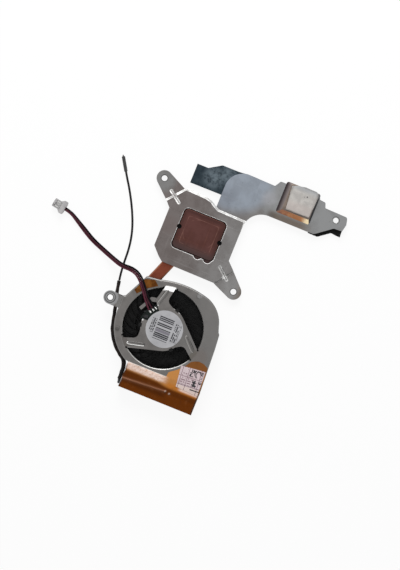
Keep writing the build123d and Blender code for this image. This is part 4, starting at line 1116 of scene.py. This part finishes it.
def tape_tone(x, y):
    """The tape's colour at a place: what lies under it, with painted highlights where it stands off and along its
    crease, and painted shade at its side edges.
    """
    right = smooth_step(x, 6.0, 12.0)
    highlight_band = hump(-y, 21.3, 21.8, 24.3, 25.6) * (1 - smooth_step(x, 7.5, 13.0))
    beside_label = hump(-y, 23.4, 24.4, 25.4, 26.1) * smooth_step(x, 17.5, 20.0)
    streak = wave(x * 0.9 - y * 0.5, y * 2.2, 2.0) + 0.5 * wave(x * 3.1, y * 3.0, 6.0)
    knots = max(exp(-(((x - a) ** 2 + (y - b) ** 2) / 0.12)) for a, b in crease_knots)
    layers = [
        (tongue_brown, smooth_step(y, -16.5, -12.0)),
        (brown, smooth_step(-y, 24.6 + 0.6 * right, 26.5 + 0.6 * right)),
        (dark_brown, 0.75 * hump(-y, 28.4, 30.0, 31.0, 33.0) * (1 - smooth_step(x, 11.0, 15.0))),
        (amber_highlight, 0.7 * hump(-y, 23.0, 25.0, 25.6, 27.6) * smooth_step(x, 9.0, 14.0)),
        (milky_highlight, min(max(highlight_band * (0.93 + 0.75 * streak), beside_label * 0.85), 1.0)),
        (edge_highlight, 0.95 * hump(-y, 21.2, 21.35, 21.75, 22.0) * (1 - smooth_step(x, 10.0, 10.8))),
        (left_edge_shade, 0.75 * smooth_step(-x, 8.7, 9.8) * smooth_step(-y, 22.4, 24.0)),
        (right_edge_shade, 0.85 * smooth_step(x, 28.15, 28.6) * smooth_step(-y, 13.0, 14.5)),
        (crease_sheen, 0.6 * ridge(x, y, *crease_ends, 0.8)),
        (crease_highlight, 0.75 * ridge(x, y, *crease_ends, 0.26)),
        (knot_shine, min(knots, 1.0)),
        (fold_brown, smooth_step(x, outlet_right - 0.02, outlet_right + 0.03)),
    ]
    tone = clear_amber
    for layer, share in layers:
        tone = [low + (high - low) * share for low, high in zip(tone, layer)]
    return tone


def paint(piece, name, tone):
    """Gives each point of a piece a colour worked out from its place in millimetres."""
    layer = piece.data.color_attributes.new(name, "FLOAT_COLOR", "POINT")
    for vertex, value in zip(piece.data.vertices, layer.data):
        value.color = (*tone(vertex.co.x * 1000, vertex.co.y * 1000), 1)


tape_film, point = new_material("amber film")
stain = add_node("ShaderNodeAttribute", tree=point.id_data, attribute_name="tone").outputs["Color"]
cloud = noise_value(point, 260.0, 5.0, 0.6)
colour = laid(stain, (0.3, 0.12, 0.04), ramp(cloud, 0.55, 0.8, 0.0, 0.3))
colour = laid(colour, (0.03, 0.01, 0.004), ramp(cloud, 0.45, 0.2, 0.0, 0.35))
streaks = made("ShaderNodeMapping", {"Vector": point, "Scale": (1.0, 0.15, 1.0)})
gloss = ramp(noise_value(point, 500.0), 0.35, 0.7, 0.24, 0.36)
finish_material(colour, gloss, noise_value(streaks, 1400.0, 3.0, 0.6), 0.00002, 0.06)

fold_back = -22.8
fold_bottom = 3.35
fold_face = outlet_right + 0.03
fold_end = outlet_right + 4.0


def laid_fold(x, y, z, share):
    """A point of the tape's right end, folded down over the last fin."""
    drop = (x - outlet_right) / (fold_end - outlet_right)
    top = tape_height(y) + tape_lift + film_thickness
    return fold_face + share * film_thickness, y, top + (fold_bottom - top) * min(max(drop, 0.0), 1.0)


def joined(piece, other):
    """Adds a second mesh with the same materials to a piece."""
    work = bmesh.new()
    for mesh in (piece.data, other.data):
        work.from_mesh(mesh)
    work.to_mesh(piece.data)
    work.free()
    bpy.data.objects.remove(other)


net_spacing = 0.42
fold_plan = [(outlet_right, fins_end), (fold_end, fins_end), (fold_end, fold_back), (outlet_right, fold_back)]
outlet_tape = slab("outlet_tape_film", tape_outline(), 0.0, 1.0, net_spacing, laid_tape, [tape_film])
joined(outlet_tape, slab("fold", fold_plan, 0.0, 1.0, net_spacing, laid_fold, [tape_film]))
paint(outlet_tape, "tone", tape_tone)
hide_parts("outlet_tape")
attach(outlet_tape, "cooler")

small_film, point = new_material("small amber film")
cloud = ramp(noise_value(point, 380.0, 4.0, 0.6), 0.35, 0.65)
colour = mixed(cloud, (0.095, 0.03, 0.004), (0.2, 0.075, 0.013))
finish_material(colour, 0.36, noise_value(point, 1500.0), 0.00001, 0.07)
dress("lead_tape", small_film)


# Labels
# A round printed label on the hub plate and a small square inspection label on the tape. Their print is plain
# bars, dashes, ruled boxes and random strokes.


def band(value, low, high):
    """1 while a value lies between two limits."""
    return product(maths("GREATER_THAN", value, low), maths("LESS_THAN", value, high))


def box(x, y, left, right, low, high):
    """1 inside an upright box, else 0."""
    return product(band(x, left, right), band(y, low, high))


def dashes_group():
    """Rows of short printed dashes of random length, along Along and stacked across it."""
    inputs = {"Along": 0.0, "Across": 0.0, "Pitch": 0.8, "Fill": 0.55, "Length": 0.4, "Share": 0.35}
    group, given, out = new_group("printed dashes", inputs, ["Ink"])
    row = maths("DIVIDE", given["Across"], given["Pitch"])
    stripe = maths("LESS_THAN", maths("FRACT", row), given["Fill"])
    cell = maths("FLOOR", maths("DIVIDE", given["Along"], given["Length"]))
    place = made("ShaderNodeCombineXYZ", {"X": cell, "Y": maths("FLOOR", row)})
    chance = add_node("ShaderNodeTexWhiteNoise", {"Vector": place}, noise_dimensions="2D").outputs["Value"]
    group.links.new(product(stripe, maths("GREATER_THAN", chance, given["Share"])), out["Ink"])
    return group


printed_dashes = dashes_group()


def millimetres_from(point, x, y):
    """A place's distances in millimetres along X and Y from a point."""
    moved = vector_maths("SUBTRACT", point, mm(x, y, 0))
    return axes(vector_maths("MULTIPLY", moved, (1000, 1000, 1000)))[:2]


bars_left, bars_right = -4.2, 3.4
bar_rows = [(5.4, 0.6), (4.5, 0.6), (3.6, 0.55), (2.0, 0.65), (1.1, 0.6), (-0.5, 0.5)]
bar_rows += [(-3.0, 0.72), (-3.95, 0.72), (-4.8, 0.55), (-5.85, 0.3)]
label_film, point = new_material("label film")
x, y = millimetres_from(point, 0.85, -0.1)
bars = []
for place, width in bar_rows:
    bars.append(box(x, y, bars_left, bars_right, place - width / 2, place + width / 2))
feeds = {"Along": y, "Across": x, "Pitch": 0.92, "Fill": 0.66, "Length": 0.46, "Share": 0.36}
dashes = place_group(printed_dashes, feeds)["Ink"]
sides = largest(box(x, y, -7.2, -4.9, -3.6, 3.6), box(x, y, 4.4, 7.6, -4.6, 4.6))
tone = ramp(noise_value(point, 240.0, 4.0), 0.3, 0.7)
colour = mixed(tone, (0.39, 0.39, 0.405), (0.47, 0.47, 0.485))
colour = laid(colour, (0.2, 0.19, 0.22), box(x, y, bars_left, bars_right, -2.3, -0.9))
colour = laid(colour, (0.012, 0.012, 0.018), largest(*bars), 0.95)
colour = laid(colour, (0.02, 0.02, 0.026), sides, dashes, 0.92)
finish_material(colour, 0.38, noise_value(point, 2500.0), 0.000004, 0.3)
dress("motor_label", label_film)

rule_width = 0.28
label_paper, point = new_material("label paper")
feeds = {"Vector": point, "Rotation": (0, 0, radians(-4))}
x, y = millimetres_from(made("ShaderNodeMapping", feeds, vector_type="POINT"), 15.3, -13.6)
tone = ramp(noise_value(point, 300.0, 4.0), 0.3, 0.7)
colour = mixed(tone, (0.53, 0.42, 0.44), (0.7, 0.58, 0.6))
colour = laid(colour, (0.84, 0.68, 0.61), band(y, -16.0, -10.4), 0.85)
ruled = [band(x, place, place + rule_width) for place in (0.25, 3.6, 9.7)]
ruled += [band(y, place, place + rule_width) for place in (-0.6, -5.7, -10.1)]
colour = laid(colour, (0.13, 0.05, 0.075), largest(*ruled), 0.85)
feeds = {"Along": x, "Across": y, "Pitch": 1.1, "Fill": 0.5, "Length": 0.6, "Share": 0.5}
dashes = place_group(printed_dashes, feeds)["Ink"]
small_print = largest(box(x, y, 0.8, 3.2, -9.6, -0.9), box(x, y, 4.2, 9.0, -9.6, -6.0))
colour = laid(colour, (0.14, 0.055, 0.08), dashes, small_print, 0.75)
pen = noise_value(point, 360.0, 0.6, 0.4)
strokes = largest(band(pen, 0.38, 0.45), band(pen, 0.5, 0.59))
written = largest(box(x, y, 4.4, 10.9, -4.9, -1.2), box(x, y, 6.6, 12.2, -9.4, -6.2))
heavy_rule = box(x, y, 6.6, 12.3, -11.5, -10.9)
colour = laid(colour, (0.006, 0.006, 0.009), largest(product(strokes, written), heavy_rule), 0.98)
finish_material(colour, 0.6, noise_value(point, 3500.0), 0.000006)
dress("inspection_label", label_paper)


# Insulating film, foam and thermal pad
# Blue-black film glued under the bracket's lobe, a block of black foam under the arm's end, and a soft grey pad
# pressed on the copper block, with a smudge of oil and dust at its edges.

plate_right, plate_far = 17.95, 64.1
arm_reach, arm_rise = 47.9, 7.7


def film_dent(x, y, z, share):
    """The film sags a little and has a long shallow dent in the part that stands out."""
    free = 1 - smooth_step(x, -8.0, 1.0)
    dent = 0.18 * wave(x * 0.16, y * 0.28, 4.0) + 0.06 * wave(x * 0.6, y * 0.6, 9.0)
    return x, y, z + free * dent - 0.25 * smooth_step(-x, 4.0, 15.0)


def around(x, y, corners):
    """An outline in millimetres from its corners' distances to a place."""
    return [(x + across, y + far) for across, far in corners]


film_corners = [(-16.9, 0.0), (17.0, 0.1), (23.0, 6.1), (21.1, 13.2), (9.1, 14.6), (4.0, 14.1), (-4.8, 14.1)]
film_corners += [(-11.1, 10.2), (-16.9, 10.2)]
film_outline = around(plate_right - 16.0, plate_far + arm_rise + 1.0, film_corners)
film_dark, point = new_material("blue-black film")
cloud = noise_value(point, 330.0, 6.0, 0.68)
colour = mixed(ramp(cloud, 0.35, 0.7), (0.013, 0.022, 0.03), (0.03, 0.045, 0.056))
# Painted sheen: lighter, bluer patches where the film's dent catches the light.
left_spot, right_spot = near_spot(point, -4.5, 79.5, 2.0, 5.5), near_spot(point, 1.5, 83.0, 1.5, 5.0)
painted_sheen = largest(left_spot, right_spot)
colour = laid(colour, (0.14, 0.175, 0.2), painted_sheen, ramp(cloud, 0.3, 0.6), 0.85)
finish_material(colour, 0.5, cloud, 0.00006, 0.12)
insulating_film = slab("insulating_film_sheet", film_outline, 1.35, 1.5, 1.0, film_dent, [film_dark])
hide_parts("insulating_film")
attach(insulating_film, "cooler")

pad_x, pad_y, pad_low, pad_high = 39.3, 83.4, 4.6, 5.3


def pad_crown(x, y, z, share):
    """The pad swells a little in its middle and its top is not quite even."""
    reach = max(abs(x - pad_x) / 7.6, abs(y - pad_y) / 7.4)
    return x, y, z + (0.1 * (1 - reach * reach) + 0.035 * wave(x * 0.35, y * 0.35, 2.0)) * share


pad_corners = [(-4.8, -5.6), (7.5, -5.2), (8.0, 0.7), (8.2, 6.4), (7.6, 7.6), (6.4, 8.3), (0.4, 8.4), (-3.4, 7.6)]
pad_corners += [(-6.2, 6.6), (-5.4, 0.2), (-4.9, -5.0)]
pad_grey, point = new_material("pad grey")
x, y = millimetres_from(point, pad_x + 1.0, pad_y + 1.4)
cloud = noise_value(point, 320.0, 5.0, 0.65)
colour = mixed(ramp(cloud, 0.35, 0.68), (0.43, 0.41, 0.39), (0.55, 0.53, 0.5))
colour = laid(colour, (0.36, 0.38, 0.4), ramp(y, 3.0, 6.5, 0.0, 0.7))
colour = laid(colour, (0.52, 0.45, 0.42), ramp(y, 0.0, -3.5, 0.0, 0.5))
from_middle = maths("SMOOTH_MAX", maths("ABSOLUTE", x), maths("ABSOLUTE", y), 1.5)
smudge = product(ramp(from_middle, 5.6, 7.2), ramp(cloud, 0.35, 0.6))
colour = laid(colour, (0.1, 0.085, 0.075), smudge, 0.75)
specks = [(42.3, 87.5, 0.3, 0.2, 0.8, (0.05, 0.05, 0.05)), (41.0, 87.0, 0.12, 0.12, 0.8, (0.05, 0.05, 0.05))]
colour = spotted(point, colour, specks)
finish_material(colour, 0.7, noise_value(point, 2200.0, 3.0), 0.00002, 0.2)
pad_outline = around(pad_x, pad_y, pad_corners)
thermal_pad = slab("thermal_pad_sheet", pad_outline, pad_low, pad_high, 0.9, pad_crown, [pad_grey], rounding=0.22)
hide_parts("thermal_pad")
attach(thermal_pad, "cooler")


def foam_pits(x, y, z, share):
    """Open cells in the foam's sides."""
    pull = 0.12 * wave(x * 1.7, y * 1.7, z * 1.7)
    return x + pull, y - pull, z + (0.05 * pull if 0.1 < share < 0.9 else 0.0)


foam_corners = [(-16.4, -0.3), (-11.3, -0.4), (-5.5, 3.9), (-0.7, 3.6), (-0.7, 7.3), (-1.5, 9.0), (-14.4, 9.0)]
foam_outline = around(plate_right + arm_reach, plate_far + arm_rise, foam_corners)
foam_black = plain_plastic("foam black", (0.004, 0.004, 0.004), (0.012, 0.012, 0.012), 0.85, 0.1, 3200.0, 0.0001)
foam_pad = slab("foam_pad_block", foam_outline, 0.03, 1.55, 0.8, foam_pits, [foam_black])
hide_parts("foam_pad")
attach(foam_pad, "cooler")
